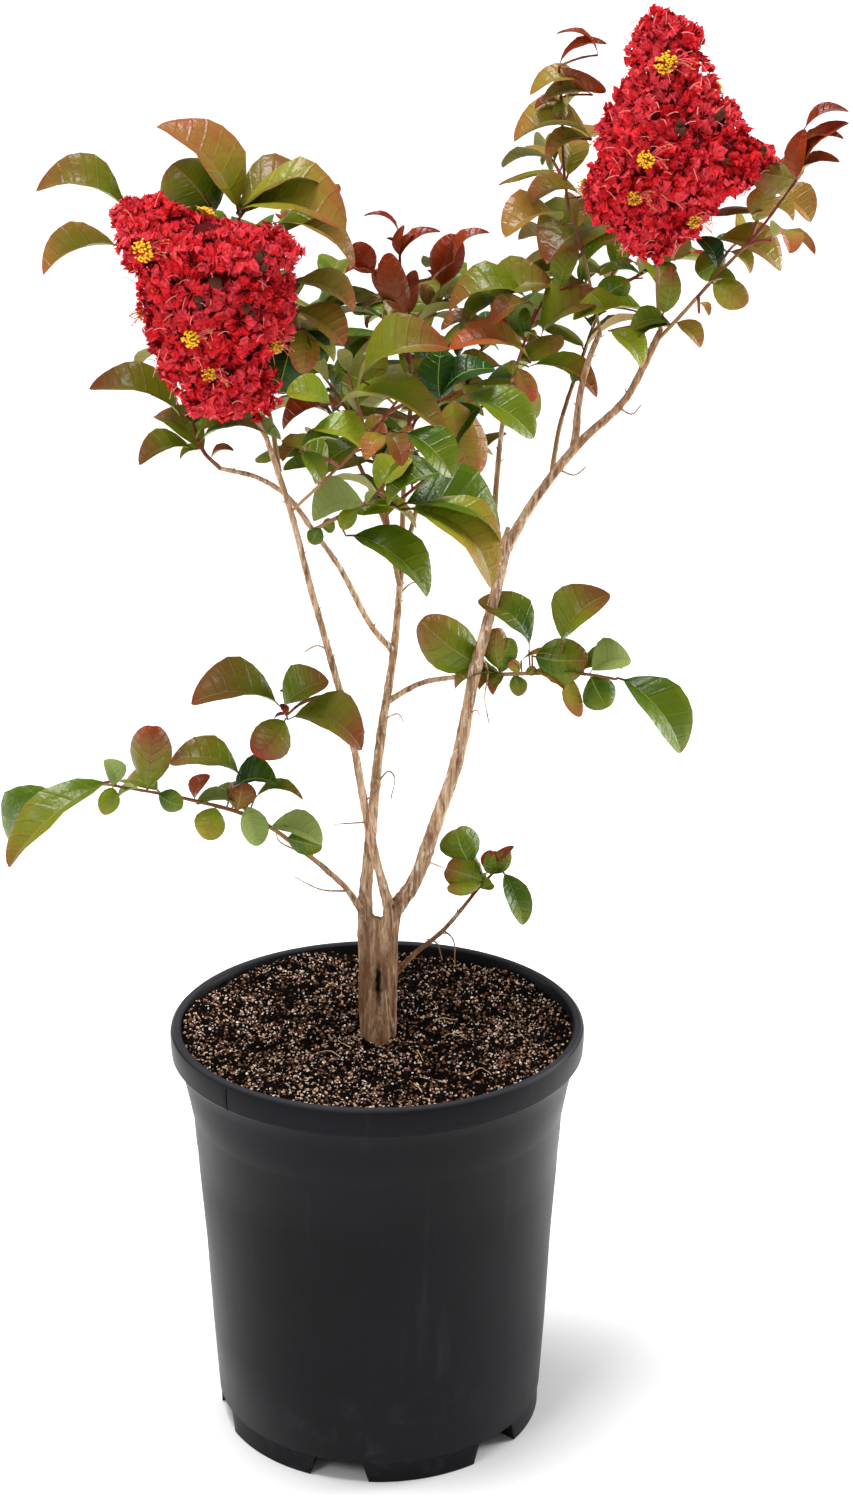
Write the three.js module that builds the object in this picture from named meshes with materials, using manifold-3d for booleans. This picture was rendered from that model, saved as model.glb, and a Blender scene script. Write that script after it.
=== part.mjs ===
// A young crape myrtle in a nursery pot: millimetres, +Z up, the origin at the
// centre of the pot's flat underside, +X to the right of the plant's best side.
import * as THREE from 'three';
import { mergeVertices } from 'three/addons/utils/BufferGeometryUtils.js';
import Module from 'manifold-3d';

const wasm = await Module();
wasm.setup();

// ---- Driving sizes -------------------------------------------------------

const GAP = 0.36;                 // air kept between a piece and its neighbour
const CUT = 0.42;                 // air cut round a limb's carrier, a little more on flat sides
const POT_HEIGHT = 238;
const RIM_RADIUS = 115;
const BASE_RADIUS = 91.5;
const POT_SIDES = 36;
const WALL = 2.4;
const FOOT_NOTCHES = 6;           // drain notches round the foot
const NOTCH = { height: 12, wide: 34, narrow: 27, inner: 66, first: -43.5 };
const SOIL_TOP = 227;
const FLAT_UNDER_TRUNK = 19;      // radius of level soil round the trunk

const CROWN_LOW = new THREE.Vector3(-203, -160, 290);
const CROWN_HIGH = new THREE.Vector3(237.5, 175, 785);
const LEAF_WIDTH = 0.52;          // of a leaf's length
const LEAF_THICKNESS = 0.034;     // of a leaf's length, where its stalk has run into it
const STALK_END = 0.22;           // how far along that is
const LEAF_ARCH = 0.13;           // how far its middle rises over the line from root to tip
const BLADE_START = 0.2;          // share of a leaf next to its root that may cross its neighbour's
const LEAF_APART = 2.2;           // least distance between the roots of neighbouring leaves
const TWIG_RADIUS = 1.5;          // to the corners of a three-sided twig
const TWIG_TIP_RADIUS = 1;
const STEP = 22;                  // length of one straight stretch of a limb

// ---- Solids --------------------------------------------------------------

// A closed solid from any three.js geometry whose faces point out
function solid(geometry) {
  geometry.deleteAttribute('normal');
  geometry.deleteAttribute('uv');
  const merged = mergeVertices(geometry, 1e-4);
  return new wasm.Manifold(new wasm.Mesh({
    numProp: 3,
    vertProperties: new Float32Array(merged.attributes.position.array),
    triVerts: new Uint32Array(merged.index.array),
  }));
}

// The largest body of a solid, with loose scraps and sealed hollows dropped
function largest(body) {
  const parts = body.decompose();
  parts.sort((a, b) => b.volume() - a.volume());
  return parts[0];
}

function toGeometry(body) {
  const mesh = body.getMesh();
  const geometry = new THREE.BufferGeometry();
  geometry.setAttribute('position', new THREE.BufferAttribute(mesh.vertProperties, 3));
  geometry.setIndex(new THREE.BufferAttribute(mesh.triVerts, 1));
  geometry.computeVertexNormals();
  return geometry;
}

// Moves every vertex of a geometry to where place(vertex) says
function reshape(geometry, place) {
  const position = geometry.attributes.position;
  const vertex = new THREE.Vector3();
  for (let i = 0; i < position.count; i += 1) {
    vertex.fromBufferAttribute(position, i);
    const moved = place(vertex);
    position.setXYZ(i, moved.x, moved.y, moved.z);
  }
  return geometry;
}

const vector = (p) => (p.isVector3 ? p.clone() : new THREE.Vector3(...p));

// A repeatable stream of numbers from 0 to 1
function dice(seed) {
  let state = seed >>> 0;
  return () => {
    state = (state + 0x6d2b79f5) >>> 0;
    let mixed = state;
    mixed = Math.imul(mixed ^ (mixed >>> 15), mixed | 1);
    mixed ^= mixed + Math.imul(mixed ^ (mixed >>> 7), mixed | 61);
    return ((mixed ^ (mixed >>> 14)) >>> 0) / 4294967296;
  };
}

// ---- Limbs ---------------------------------------------------------------

// The run of a limb: straight stretches of about STEP along a smooth curve
function runAlong(curve) {
  const steps = Math.max(1, Math.round(curve.getLength() / STEP));
  const spots = curve.getSpacedPoints(steps);
  const run = new THREE.CurvePath();
  spots.slice(1).forEach((spot, i) => run.add(new THREE.LineCurve3(spots[i], spot)));
  return run;
}

const runThrough = (points) => runAlong(new THREE.CatmullRomCurve3(points.map(vector), false, 'centripetal'));

// A tapering round limb along its run: a cylinder whose rings are set at the run's corners. `swell`
// grows it evenly, at its ends too, for a cutter that leaves air round it.
function limbSolid(run, rootRadius, tipRadius, sides, swell = 0) {
  const steps = run.curves.length;
  const frames = run.computeFrenetFrames(steps);
  const tube = new THREE.CylinderGeometry(1, 1, 1, sides, steps);
  return solid(reshape(tube, (v) => {
    const ring = Math.round((v.y + 0.5) * steps);
    const radius = THREE.MathUtils.lerp(rootRadius, tipRadius, ring / steps) + swell;
    const past = ring === 0 ? -swell : swell * Number(ring === steps);
    const corner = ring === 0 ? run.curves[0].v1 : run.curves[ring - 1].v2;
    return corner.clone()
      .addScaledVector(frames.tangents[ring], past)
      .addScaledVector(frames.binormals[ring], v.x * radius)
      .addScaledVector(frames.normals[ring], v.z * radius);
  }));
}

// The nodes made so far, the limbs that carry others, and the pieces that leaves keep clear of
const nodes = [];
const carriers = {};
const occupied = [];

function occupy(owner, body) {
  occupied.push({ owner, body, box: body.boundingBox() });
}

function boxesApart(a, b, air) {
  return [0, 1, 2].some((k) => a.min[k] > b.max[k] + air || b.min[k] > a.max[k] + air);
}

// True where a body comes too near any node but its owner
function touchesOthers(owner, body, air = GAP) {
  const box = body.boundingBox();
  return occupied.some((other) => other.owner !== owner
    && !boxesApart(box, other.box, air)
    && body.minGap(other.body, air * 2) < air);
}

function addNode(name, body, material) {
  nodes.push({ name, body, material });
}

// ---- Finishes ------------------------------------------------------------

const finish = (color, roughness) => new THREE.MeshStandardMaterial({ color, roughness, metalness: 0 });
const finishes = {
  plastic: finish(0x2a2a2e, 0.45),
  soil: finish(0x2e2018, 0.95),
  bark: finish(0xa98a64, 0.85),
  leaf: finish(0x5b7a2a, 0.5),
  bronzeLeaf: finish(0x8a5a34, 0.5),
  redLeaf: finish(0x8e2a1a, 0.5),
  blossom: finish(0xc41e2a, 0.7),
};

// ---- Pot and soil --------------------------------------------------------

// Outside of the pot from its foot to the top of its rolled rim, radius and height
const POT_OUTSIDE = [
  [BASE_RADIUS, 0], [95.5, 58], [98, 110], [101, 155], [103, 189], [107, 206], [110.5, 221],
  [RIM_RADIUS - 1, 223], [RIM_RADIUS, 235], [RIM_RADIUS - 1.5, POT_HEIGHT],
];
// Inside of the pot from its floor up to its rim
const POT_INSIDE = [
  [86, WALL], [BASE_RADIUS - WALL, 12], [95, 110], [100.5, 189], [104, 206], [108.5, POT_HEIGHT],
];

function lathe(profile, sides) {
  const points = profile.map(([radius, height]) => new THREE.Vector2(radius, height));
  const turned = new THREE.LatheGeometry(points, sides);
  return turned.rotateX(Math.PI / 2);
}

// One drain notch, a trapezoid that runs in from the foot, grown by `grow` on its inner faces
function notchSolid(index, grow) {
  const wide = NOTCH.wide / 2 + grow;
  const narrow = NOTCH.narrow / 2 + grow;
  const top = NOTCH.height + grow;
  const slope = (wide - narrow) / top;
  const under = 6;
  const outline = new THREE.Shape([
    new THREE.Vector2(-wide - slope * under, -under), new THREE.Vector2(wide + slope * under, -under),
    new THREE.Vector2(narrow, top), new THREE.Vector2(-narrow, top),
  ]);
  const inner = NOTCH.inner - grow;
  const bar = new THREE.ExtrudeGeometry(outline, { depth: RIM_RADIUS - inner, bevelEnabled: false });
  bar.rotateX(Math.PI / 2);
  bar.rotateZ(Math.PI / 2);
  bar.translate(inner, 0, 0);
  bar.rotateZ(THREE.MathUtils.degToRad(NOTCH.first + (360 / FOOT_NOTCHES) * index));
  return solid(bar);
}

function notches(grow) {
  const all = Array.from({ length: FOOT_NOTCHES }, (_, index) => notchSolid(index, grow));
  return wasm.Manifold.union(all);
}

function makePot() {
  const outside = solid(lathe([[0, 0], ...POT_OUTSIDE, [0, POT_HEIGHT]], POT_SIDES));
  const above = 4;
  const inside = solid(lathe([[0, WALL], ...POT_INSIDE, [108.5, POT_HEIGHT + above],
    [0, POT_HEIGHT + above]], POT_SIDES));
  const hollow = inside.subtract(notches(WALL));
  addNode('pot', largest(outside.subtract(hollow).subtract(notches(0))), finishes.plastic);
}

// Height of the soil over its level, uneven away from the trunk and low by the far right wall
function soilRise(x, y) {
  const away = THREE.MathUtils.smoothstep(Math.hypot(x, y), FLAT_UNDER_TRUNK, FLAT_UNDER_TRUNK + 30);
  const rolls = 2.2 * Math.sin(x / 19 + 1) * Math.cos(y / 23) + 1.4 * Math.sin(x / 11 - y / 13);
  return away * (rolls - 0.03 * Math.max(0, x + y - 60));
}

function makeSoil() {
  const tight = WALL + GAP;
  const rings = [105.8, 84, 60, 38, FLAT_UNDER_TRUNK];
  const turned = lathe([[0, tight], [86 - GAP, tight], [BASE_RADIUS - tight, 12], [95 - GAP, 110],
    [100.5 - GAP, 189], [104 - GAP, 206], ...rings.map((radius) => [radius, SOIL_TOP]), [0, SOIL_TOP]],
  POT_SIDES);
  reshape(turned, (v) => {
    const onTop = v.z > SOIL_TOP - 1;
    return new THREE.Vector3(v.x, v.y, v.z + (onTop ? soilRise(v.x, v.y) : 0));
  });
  const body = largest(solid(turned).subtract(notches(WALL + GAP)));
  occupy('soil', body);
  addNode('soil', body, finishes.soil);
}

// ---- Trunk and boughs ----------------------------------------------------

// Two stems grown together, cut flat at the soil, and the collars that their limbs leave from
const TRUNK_COLUMNS = [
  { points: [[-3, 1, SOIL_TOP - 4], [-4.4, 1.5, 255], [-5.8, 2, 285], [-6.8, 2, 306]], root: 8.6, tip: 3.6 },
  { points: [[3.2, -1, SOIL_TOP - 4], [4.6, -1, 250], [6.2, -1, 278], [9, 0, 303]], root: 8.8, tip: 4.2 },
  { points: [[4.5, -2, 262], [5.2, -5, 284], [6.4, -6.5, 300], [6.2, -7.5, 310]], root: 5.5, tip: 2.6 },
];
const FLARE = { radius: 12.6, height: 14, shrink: 0.72 };

function trunkColumns(swell) {
  return TRUNK_COLUMNS.map(({ points, root, tip }) => (
    limbSolid(runThrough(points), root, tip, 9, swell)));
}

function makeTrunk() {
  const flare = new THREE.CylinderGeometry(FLARE.radius * FLARE.shrink, FLARE.radius, FLARE.height, 12);
  flare.rotateX(Math.PI / 2);
  flare.translate(0, 0, SOIL_TOP + GAP + FLARE.height / 2);
  const below = new THREE.BoxGeometry(4 * FLARE.radius, 4 * FLARE.radius, 2 * FLARE.height);
  below.translate(0, 0, SOIL_TOP + GAP - FLARE.height);
  const grown = wasm.Manifold.union([...trunkColumns(0), solid(flare)]);
  const body = largest(grown.subtract(solid(below)));
  carrier('trunk', body, wasm.Manifold.union(trunkColumns(CUT)));
  occupy('trunk', body);
  addNode('trunk', body, finishes.bark);
}

// Each bough: where it runs, its thickness at both ends, its sides and the node that carries it,
// round which its root is cut with GAP of air
const BOUGHS = [
  { name: 'left_stem', on: 'trunk', radii: [2.5, 1.3], sides: 6,
    points: [[6.2, -7.5, 310], [-3, -14, 353], [-12, -16, 407], [-22, -24, 452], [-32, -32, 494],
      [-42, -38, 538], [-53, -43, 576]] },
  { name: 'middle_stem', on: 'trunk', radii: [3.4, 1.6], sides: 7,
    points: [[-6.8, 2, 306], [-2.5, 10, 352], [2.6, 16, 399], [9.7, 24, 445], [13, 32, 480],
      [14, 36, 496]] },
  { name: 'right_stem', on: 'trunk', radii: [4.1, 2.7], sides: 7,
    points: [[9, 0, 303], [20, 0, 319], [34, 0, 359], [44, 0, 391], [53, 0, 440], [65, 0, 489],
      [69, 0, 508]] },
  { name: 'right_upper_stem', on: 'right_stem', radii: [2.7, 1.7], sides: 7,
    points: [[69, 0, 508], [84, 0, 534], [106, 0, 563.5], [129, 0, 586], [139, 0, 605], [147, 0, 622]] },
  { name: 'dead_stub', on: 'right_stem', radii: [1.8, 1.2], sides: 6,
    points: [[68, -1, 500], [67.5, -3, 511], [70, -4, 520]] },
  { name: 'low_left_branch', on: 'trunk', radii: [1.9, 1.4], sides: 6,
    points: [[-5.5, 0, 298], [-16, -6, 318], [-27, -10, 331], [-34, -14, 339]] },
  { name: 'right_low_branch', on: 'trunk', radii: [1.6, 1.1], sides: 6,
    points: [[5, 3, 258], [19, 9, 272], [36, 12, 286], [47.5, 12, 300]] },
  { name: 'mid_left_branch', on: 'middle_stem', radii: [1.7, 1.1], sides: 6,
    points: [[9.6, 24, 444], [-3, 16, 462], [-18, 6, 495], [-32, -2, 518], [-45, -2, 536], [-60, -10, 548],
      [-78, -24, 556]] },
  { name: 'right_mid_branch', on: 'middle_stem', radii: [1.6, 1.2], sides: 6,
    points: [[6, 20, 417], [23, 17, 428], [38, 15, 432], [60, 11, 435]] },
  { name: 'right_side_stem', on: 'right_upper_stem', radii: [2, 1.4], sides: 6,
    points: [[104, 2, 561], [107, 10, 588], [112, 13, 607], [117, 14, 619]] },
  { name: 'thin_back_stem', on: 'right_stem', radii: [1.7, 1.2], sides: 6,
    points: [[67.5, 1, 494], [63.5, 13, 512], [65, 21, 548], [68, 26, 576]] },
];

// A limb with every limb before it, grown by the air between them, cut out of it: its root then
// fits its carrier, which it has to reach
function carried(name, on, run, radii, sides) {
  const whole = limbSolid(run, radii[0], radii[1], sides);
  const box = whole.boundingBox();
  const near = Object.values(carriers).filter((other) => !boxesApart(box, other.box, 0));
  const body = largest(whole.subtract(wasm.Manifold.union(near.map((other) => other.cutter))));
  if (body.minGap(carriers[on].body, 2) > 1) throw new Error(`${name} does not reach ${on}`);
  return body;
}

function carrier(name, body, cutter) {
  carriers[name] = { body, cutter, box: cutter.boundingBox() };
}

function makeBough({ name, on, radii, sides, points }) {
  const curve = runThrough(points);
  const body = carried(name, on, curve, radii, sides);
  carrier(name, body, limbSolid(curve, radii[0], radii[1], sides, CUT));
  occupy(name, body);
  addNode(name, body, finishes.bark);
}

// ---- Leaves and twigs ----------------------------------------------------

const UP = new THREE.Vector3(0, 0, 1);

// A leaf from root to tip: a six-cornered blade, arched, folded along its middle, with a stalk
function leafSolid(root, tip, facing) {
  const along = tip.clone().sub(root);
  const length = along.length();
  along.normalize();
  const over = facing.clone().addScaledVector(along, -facing.dot(along)).normalize();
  const across = along.clone().cross(over);
  const half = (LEAF_WIDTH * length) / 2;
  return solid(reshape(new THREE.SphereGeometry(1, 6, 2), (v) => {
    const onStalk = Math.abs(v.y) > 0.5;
    const share = onStalk ? STALK_END : (v.x + 1) / 2;
    const arch = LEAF_ARCH * 4 * share * (1 - share);
    return root.clone()
      .addScaledVector(along, share * length)
      .addScaledVector(across, v.z * half * 1.12)
      .addScaledVector(over, (arch + v.y * (LEAF_THICKNESS / 2)) * length);
  }));
}

// Which way a leaf's upper face looks: up, and out from the crown's axis where the leaf hangs
function facingOf(root, lean) {
  const out = new THREE.Vector3(root.x, root.y, 0);
  if (out.lengthSq() > 1) out.normalize();
  return UP.clone().addScaledVector(out, 0.35).add(lean);
}

// Pairs of leaves along a twig, each pair turned from the last, smaller to the tip, and one at its end
function pairedLeaves(curve, pairs, size, random) {
  const leaves = [];
  for (let pair = 0; pair < pairs; pair += 1) {
    const t = 0.3 + (0.62 * (pair + 0.5)) / pairs;
    const along = curve.getTangentAt(t);
    const side = along.clone().cross(UP);
    if (side.lengthSq() < 0.04) side.set(1, 0, 0);
    side.normalize();
    const over = side.clone().cross(along).normalize();
    const steep = Math.abs(along.z);
    const turn = (pair % 2) * (Math.PI / 2) * (0.2 + 0.7 * steep) + (random() - 0.5) * 0.5;
    for (const sign of [-1, 1]) {
      const reach = size * (1 - 0.25 * t) * (0.9 + 0.3 * random());
      const spread = side.clone().multiplyScalar(Math.cos(turn) * sign)
        .addScaledVector(over, Math.sin(turn) * sign);
      const way = spread.multiplyScalar(0.85).addScaledVector(along, 0.5)
        .addScaledVector(UP, 0.1 - 0.35 * random()).normalize();
      leaves.push({ at: t, way, reach });
    }
  }
  if (pairs > 0) {
    const way = curve.getTangentAt(1).addScaledVector(UP, -0.3 * random()).normalize();
    leaves.push({ at: 1, way, reach: size * 0.8 });
  }
  return leaves;
}

function insideCrown(body) {
  const { min, max } = body.boundingBox();
  return min[0] > CROWN_LOW.x && min[1] > CROWN_LOW.y && min[2] > CROWN_LOW.z
    && max[0] < CROWN_HIGH.x && max[1] < CROWN_HIGH.y && max[2] < CROWN_HIGH.z;
}

// The stem of a mass, made before any leaf so that no leaf is in its way
function makeStem(mass) {
  const curve = runThrough(mass.stem);
  const inner = carried(mass.name, mass.on, curve, [mass.radius, TWIG_TIP_RADIUS], 5);
  if (touchesOthers(mass.name, inner, GAP * 0.7)) throw new Error(`${mass.name}: its stem is in the way`);
  occupy(mass.name, inner);
  return { ...mass, curve, inner };
}

// A mass of leaves: one stem, twigs off it, pairs of leaves by rule on both, and the leaves that
// shape the crown's outline, each given by its place on its twig (0 to 1) and by its tip.
// A twig is [place on the stem, its end, pairs, leaf size, leaves by their tips].
function makeMass({ name, seed, pairs, size, tips = [], twigs = [], material, curve, inner }) {
  const random = dice(seed);
  const parts = [inner];
  const blades = [];
  const tryPart = (body) => {
    if (!insideCrown(body) || touchesOthers(name, body)) return false;
    parts.push(body);
    return true;
  };
  // A leaf is skipped where its blade, clear of its root, would cross another of the same mass
  const tryLeaf = (root, tip, facing) => {
    const blade = leafSolid(root.clone().lerp(tip, BLADE_START), tip, facing);
    const box = blade.boundingBox();
    if ([...blades, ...parts].some((other) => !boxesApart(box, other.boundingBox(), GAP)
      && blade.minGap(other, 1) < GAP)) return;
    if (tryPart(leafSolid(root, tip, facing))) blades.push(blade);
  };
  const dress = (twig, leafPairs, leafSize, leafTips) => {
    const placed = leafTips.map(([at, ...tip]) => {
      const root = twig.getPointAt(at);
      const way = vector(tip).sub(root);
      return { at, reach: way.length(), way: way.normalize() };
    });
    const length = twig.getLength();
    const leaves = [...placed, ...pairedLeaves(twig, leafPairs, leafSize, random)];
    leaves.forEach((leaf, index) => {
      const lean = new THREE.Vector3(random() - 0.5, random() - 0.5, 0).multiplyScalar(0.5);
      const back = LEAF_APART * (0.5 + (index % 4));
      const root = twig.getPointAt(Math.max(0.04, leaf.at - back / length));
      const tip = twig.getPointAt(leaf.at).addScaledVector(leaf.way, leaf.reach);
      tryLeaf(root, tip, facingOf(root, lean));
    });
  };
  dress(curve, pairs, size, tips);
  for (const [at, end, twigPairs, twigSize, twigTips = []] of twigs) {
    const from = curve.getPointAt(at);
    const to = vector(end);
    const bow = from.clone().lerp(to, 0.5).addScaledVector(UP, from.distanceTo(to) * 0.08);
    const twig = runAlong(new THREE.QuadraticBezierCurve3(from, bow, to));
    if (tryPart(limbSolid(twig, TWIG_RADIUS, TWIG_TIP_RADIUS, 3))) {
      dress(twig, twigPairs, twigSize, twigTips);
    }
  }
  const body = largest(wasm.Manifold.union(parts));
  parts.slice(1).forEach((part) => occupy(name, part));
  addNode(name, body, finishes[material]);
}

const MASSES = [
  { name: 'low_left_leaves', on: 'low_left_branch', seed: 11, radius: 1.4,
    pairs: 3, size: 30, material: 'leaf',
    stem: [[-34, -14, 339], [-63, -26, 366], [-95, -38, 381], [-136, -48, 393]],
    tips: [[1, -181, -36, 363], [1, -191, -72, 344], [0.93, -152, -52, 372], [0.85, -140, -42, 410],
      [0.82, -122, -48, 426], [0.72, -99, -28, 402], [0.6, -66, -24, 397], [0.6, -90, -44, 358],
      [0.48, -52, -22, 394], [0.45, -57, -26, 350], [0.33, -38, -16, 378], [0.33, -40, -30, 356],
      [0.25, -25, -22, 350]] },
  { name: 'mid_left_leaves', on: 'left_stem', seed: 12, radius: 1.2, pairs: 0, size: 30, material: 'leaf',
    stem: [[-17, -20, 431], [-27, -24, 434], [-38, -29, 432], [-46, -32, 426]],
    tips: [[1, -96, -36, 438], [0.9, -27, -30, 448], [1, -62, -38, 407], [0.95, -6, -42, 405],
      [0.9, -52, -62, 424], [0.7, -36, 6, 428]] },
  { name: 'right_mid_leaves', on: 'right_mid_branch', seed: 13, radius: 1.2,
    pairs: 2, size: 34, material: 'leaf',
    stem: [[60, 11, 435], [85, 4, 438], [112, -4, 440], [128, -10, 439]],
    tips: [[0.05, 24, 16, 472], [0.32, 54, 12, 478], [0.28, 71, 22, 478], [0.45, 124, 8, 486],
      [0.5, 114, 0, 458], [0.75, 136, 4, 456], [1, 170, -28, 405], [0.8, 104, -14, 418],
      [0.12, 42, 14, 424], [0.9, 150, 10, 440]] },
  { name: 'right_low_leaves', on: 'right_low_branch', seed: 14, radius: 1.1,
    pairs: 0, size: 24, material: 'leaf',
    stem: [[47.5, 12, 300], [56, 9, 313], [63, 6, 322]],
    tips: [[0.8, 38, 4, 349], [0.7, 36, 8, 319], [0.3, 68, 8, 302], [1, 74, 2, 339], [1, 84, -6, 299],
      [0.8, 64, 34, 326], [0.9, 62, -18, 318]] },
  { name: 'far_left_leaves', on: 'mid_left_branch', seed: 15, radius: 1.1,
    pairs: 1, size: 38, material: 'bronzeLeaf',
    stem: [[-78, -24, 556], [-86, -29, 566], [-91, -32, 582]],
    tips: [[0.5, -122, -38, 562], [0.9, -142, -36, 603], [0.3, -66, -42, 560], [0.7, -50, -34, 574],
      [1, -118, 6, 604]] },
  { name: 'left_top_leaves', on: 'left_stem', seed: 16, radius: 1.4, pairs: 1, size: 44, material: 'leaf',
    stem: [[-47, -40, 558], [-52, -24, 582], [-62, -12, 620], [-70, -8, 655], [-80, -12, 684]],
    tips: [[1, -108, -8, 726], [1, -94, 22, 716]],
    twigs: [[0.93, [-116, -24, 686], 0, 40, [[1, -164, -36, 698], [1, -162, -42, 660], [0.7, -118, 8, 712]]],
      [0.88, [-60, -10, 688], 1, 44, [[1, -13, -22, 676], [0.9, -36, 12, 704], [1, -62, 14, 710]]],
      [0.5, [-34, -16, 626], 1, 40, [[1, -12, 0, 652], [1, -7, -10, 640], [0.9, -22, -20, 598]]],
      [0.5, [-82, 45, 640], 2, 48], [0.75, [-45, 48, 668], 2, 46], [0.3, [-98, 12, 604], 2, 42]] },
  { name: 'mid_centre_leaves', on: 'mid_left_branch', seed: 17, radius: 1.2, pairs: 1, size: 38,
    material: 'leaf',
    stem: [[-32, -2, 518], [-18, -8, 527], [-2, -14, 537], [8, -14, 549]],
    tips: [[0.45, 34, -12, 486], [0.8, 64, -8, 487], [0.95, 68, -4, 529], [0.3, -22, -16, 549],
      [1, 40, -34, 557]] },
  { name: 'left_centre_leaves', on: 'middle_stem', seed: 18, radius: 1.4, pairs: 2, size: 40,
    material: 'leaf',
    stem: [[13, 31.5, 477], [8, 26, 505], [3, 20, 540], [-6, 14, 572], [-14, 10, 600]],
    tips: [[0.72, 38, 4, 573], [0.85, 35, 14, 613], [0.75, -34, -6, 572], [1, -9, 8, 630],
      [1, -36, 14, 620], [0.55, 34, 24, 548], [0.4, -16, 50, 540]],
    twigs: [[0.6, [-30, 60, 590], 3, 44]] },
  { name: 'centre_top_leaves', on: 'middle_stem', seed: 19, radius: 1.6, pairs: 2, size: 38,
    material: 'leaf',
    stem: [[14, 36, 496], [15, 44, 530], [19, 53, 585], [14, 58, 630], [13, 60, 662]],
    tips: [[0.3, 62, 22, 553], [0.42, -24, 62, 572]],
    twigs: [[0.8, [-5, 55, 646], 0, 30, [[1, -14, 48, 662], [1, 1, 60, 675], [0.8, -18, 72, 648]]],
      [0.84, [30, 56, 640], 0, 30, [[1, 22, 62, 665], [1, 60, 48, 667], [1, 58, 62, 652]]],
      [0.55, [60, 40, 622], 1, 38, [[1, 96, 28, 640], [0.9, 80, 48, 650], [0.8, 38, 38, 640],
        [1, 86, 20, 612]]],
      [0.42, [50, 40, 585], 2, 40, [[1, 88, 22, 576], [0.7, 62, 32, 602]]],
      [0.35, [25, 108, 560], 2, 48], [0.6, [2, 108, 612], 2, 48], [0.72, [48, 98, 626], 2, 42]] },
  { name: 'back_stem_leaves', on: 'thin_back_stem', seed: 20, radius: 1.1, pairs: 1, size: 36,
    material: 'bronzeLeaf',
    stem: [[68, 26, 576], [74, 27, 598], [80, 22, 618], [84, 22, 630]],
    tips: [[0.5, 38, 34, 602], [0.6, 116, 8, 589], [1, 120, 20, 637], [0.4, 62, 46, 608],
      [0.9, 58, 30, 642], [0.3, 86, 14, 571]],
    twigs: [[0.7, [96, 56, 640], 2, 38]] },
  { name: 'right_left_leaves', on: 'right_side_stem', seed: 21, radius: 1.4, pairs: 2, size: 32,
    material: 'redLeaf',
    stem: [[117, 14, 619], [110, 28, 650], [99, 32, 690], [96, 28, 730], [94, 22, 752]],
    tips: [[0.3, 88, 6, 658], [0.45, 66, 15, 670], [0.5, 76, 10, 688], [0.62, 86, 0, 708],
      [0.7, 71, 6, 720], [0.82, 78, 10, 745], [1, 92, 16, 771], [0.95, 113, 26, 768],
      [0.05, 141, -8, 634], [0.02, 138, -4, 605]],
    twigs: [[0.3, [112, 76, 655], 2, 44], [0.55, [92, 72, 702], 2, 40]] },
  { name: 'right_end_leaves', on: 'right_upper_stem', seed: 22, radius: 1.4, pairs: 1, size: 30,
    material: 'bronzeLeaf',
    stem: [[146, 0, 618], [158, -10, 634], [174, -16, 654], [192, -17, 674], [212, -8, 699]],
    tips: [[1, 237, 0, 728], [1, 236, -8, 712], [0.97, 224, 10, 722], [0.85, 220, -18, 680],
      [0.8, 208, -26, 706], [0.6, 204, -22, 655], [0.42, 163, -34, 655], [0.5, 188, -22, 638],
      [0.12, 166, -16, 614]],
    twigs: [[0.4, [188, 42, 660], 2, 42], [0.65, [206, 36, 690], 2, 36], [0.3, [160, -62, 642], 2, 40],
      [0.6, [194, -56, 676], 2, 34]] },
  { name: 'back_left_leaves', on: 'middle_stem', seed: 23, radius: 1.5, pairs: 3, size: 48,
    material: 'leaf',
    stem: [[13.4, 34, 485], [5, 55, 507], [-15, 80, 545], [-40, 95, 585], [-60, 104, 622]],
    twigs: [[0.6, [-76, 88, 600], 2, 46], [0.75, [-30, 132, 620], 2, 46], [0.9, [-96, 78, 644], 2, 42]] },
  { name: 'back_centre_leaves', on: 'middle_stem', seed: 24, radius: 1.5, pairs: 2, size: 46,
    material: 'leaf',
    stem: [[14, 35, 490], [24, 70, 520], [36, 100, 555], [46, 120, 590]],
    twigs: [[0.6, [74, 98, 572], 2, 46], [0.8, [15, 142, 592], 2, 46], [0.9, [80, 128, 604], 2, 42]] },
  { name: 'back_right_leaves', on: 'right_upper_stem', seed: 25, radius: 1.4, pairs: 1, size: 42,
    material: 'leaf',
    stem: [[92, 0, 545], [98, 30, 568], [114, 65, 606], [130, 95, 642]],
    twigs: [[0.8, [98, 110, 640], 2, 44], [0.95, [152, 104, 660], 2, 44], [0.85, [168, 70, 652], 2, 40]] },
  { name: 'front_centre_leaves', on: 'left_stem', seed: 26, radius: 1.3, pairs: 2, size: 42,
    material: 'leaf',
    stem: [[-41, -37.5, 537], [-26, -62, 556], [0, -82, 586], [22, -92, 616]],
    twigs: [[0.6, [8, -112, 592], 2, 38], [0.8, [46, -80, 612], 2, 40], [0.45, [-34, -100, 580], 2, 36]] },
];

// ---- Blossom -------------------------------------------------------------

const BLOSSOM_DEPTH = 0.8;        // of a flower head's width
const FLORET = { length: 18, width: 10, thick: 4, out: 5 };
const GOLDEN_TURN = Math.PI * (3 - Math.sqrt(5));

// Value of a column of a table of rows at a height, in a smooth run from row to row
function rowValue(rows, column, height) {
  const next = rows.findIndex((row) => row[0] <= height);
  if (next <= 0) return rows[next === 0 ? 0 : rows.length - 1][column];
  const share = (height - rows[next][0]) / (rows[next - 1][0] - rows[next][0]);
  return THREE.MathUtils.lerp(rows[next][column], rows[next - 1][column], share);
}

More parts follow.
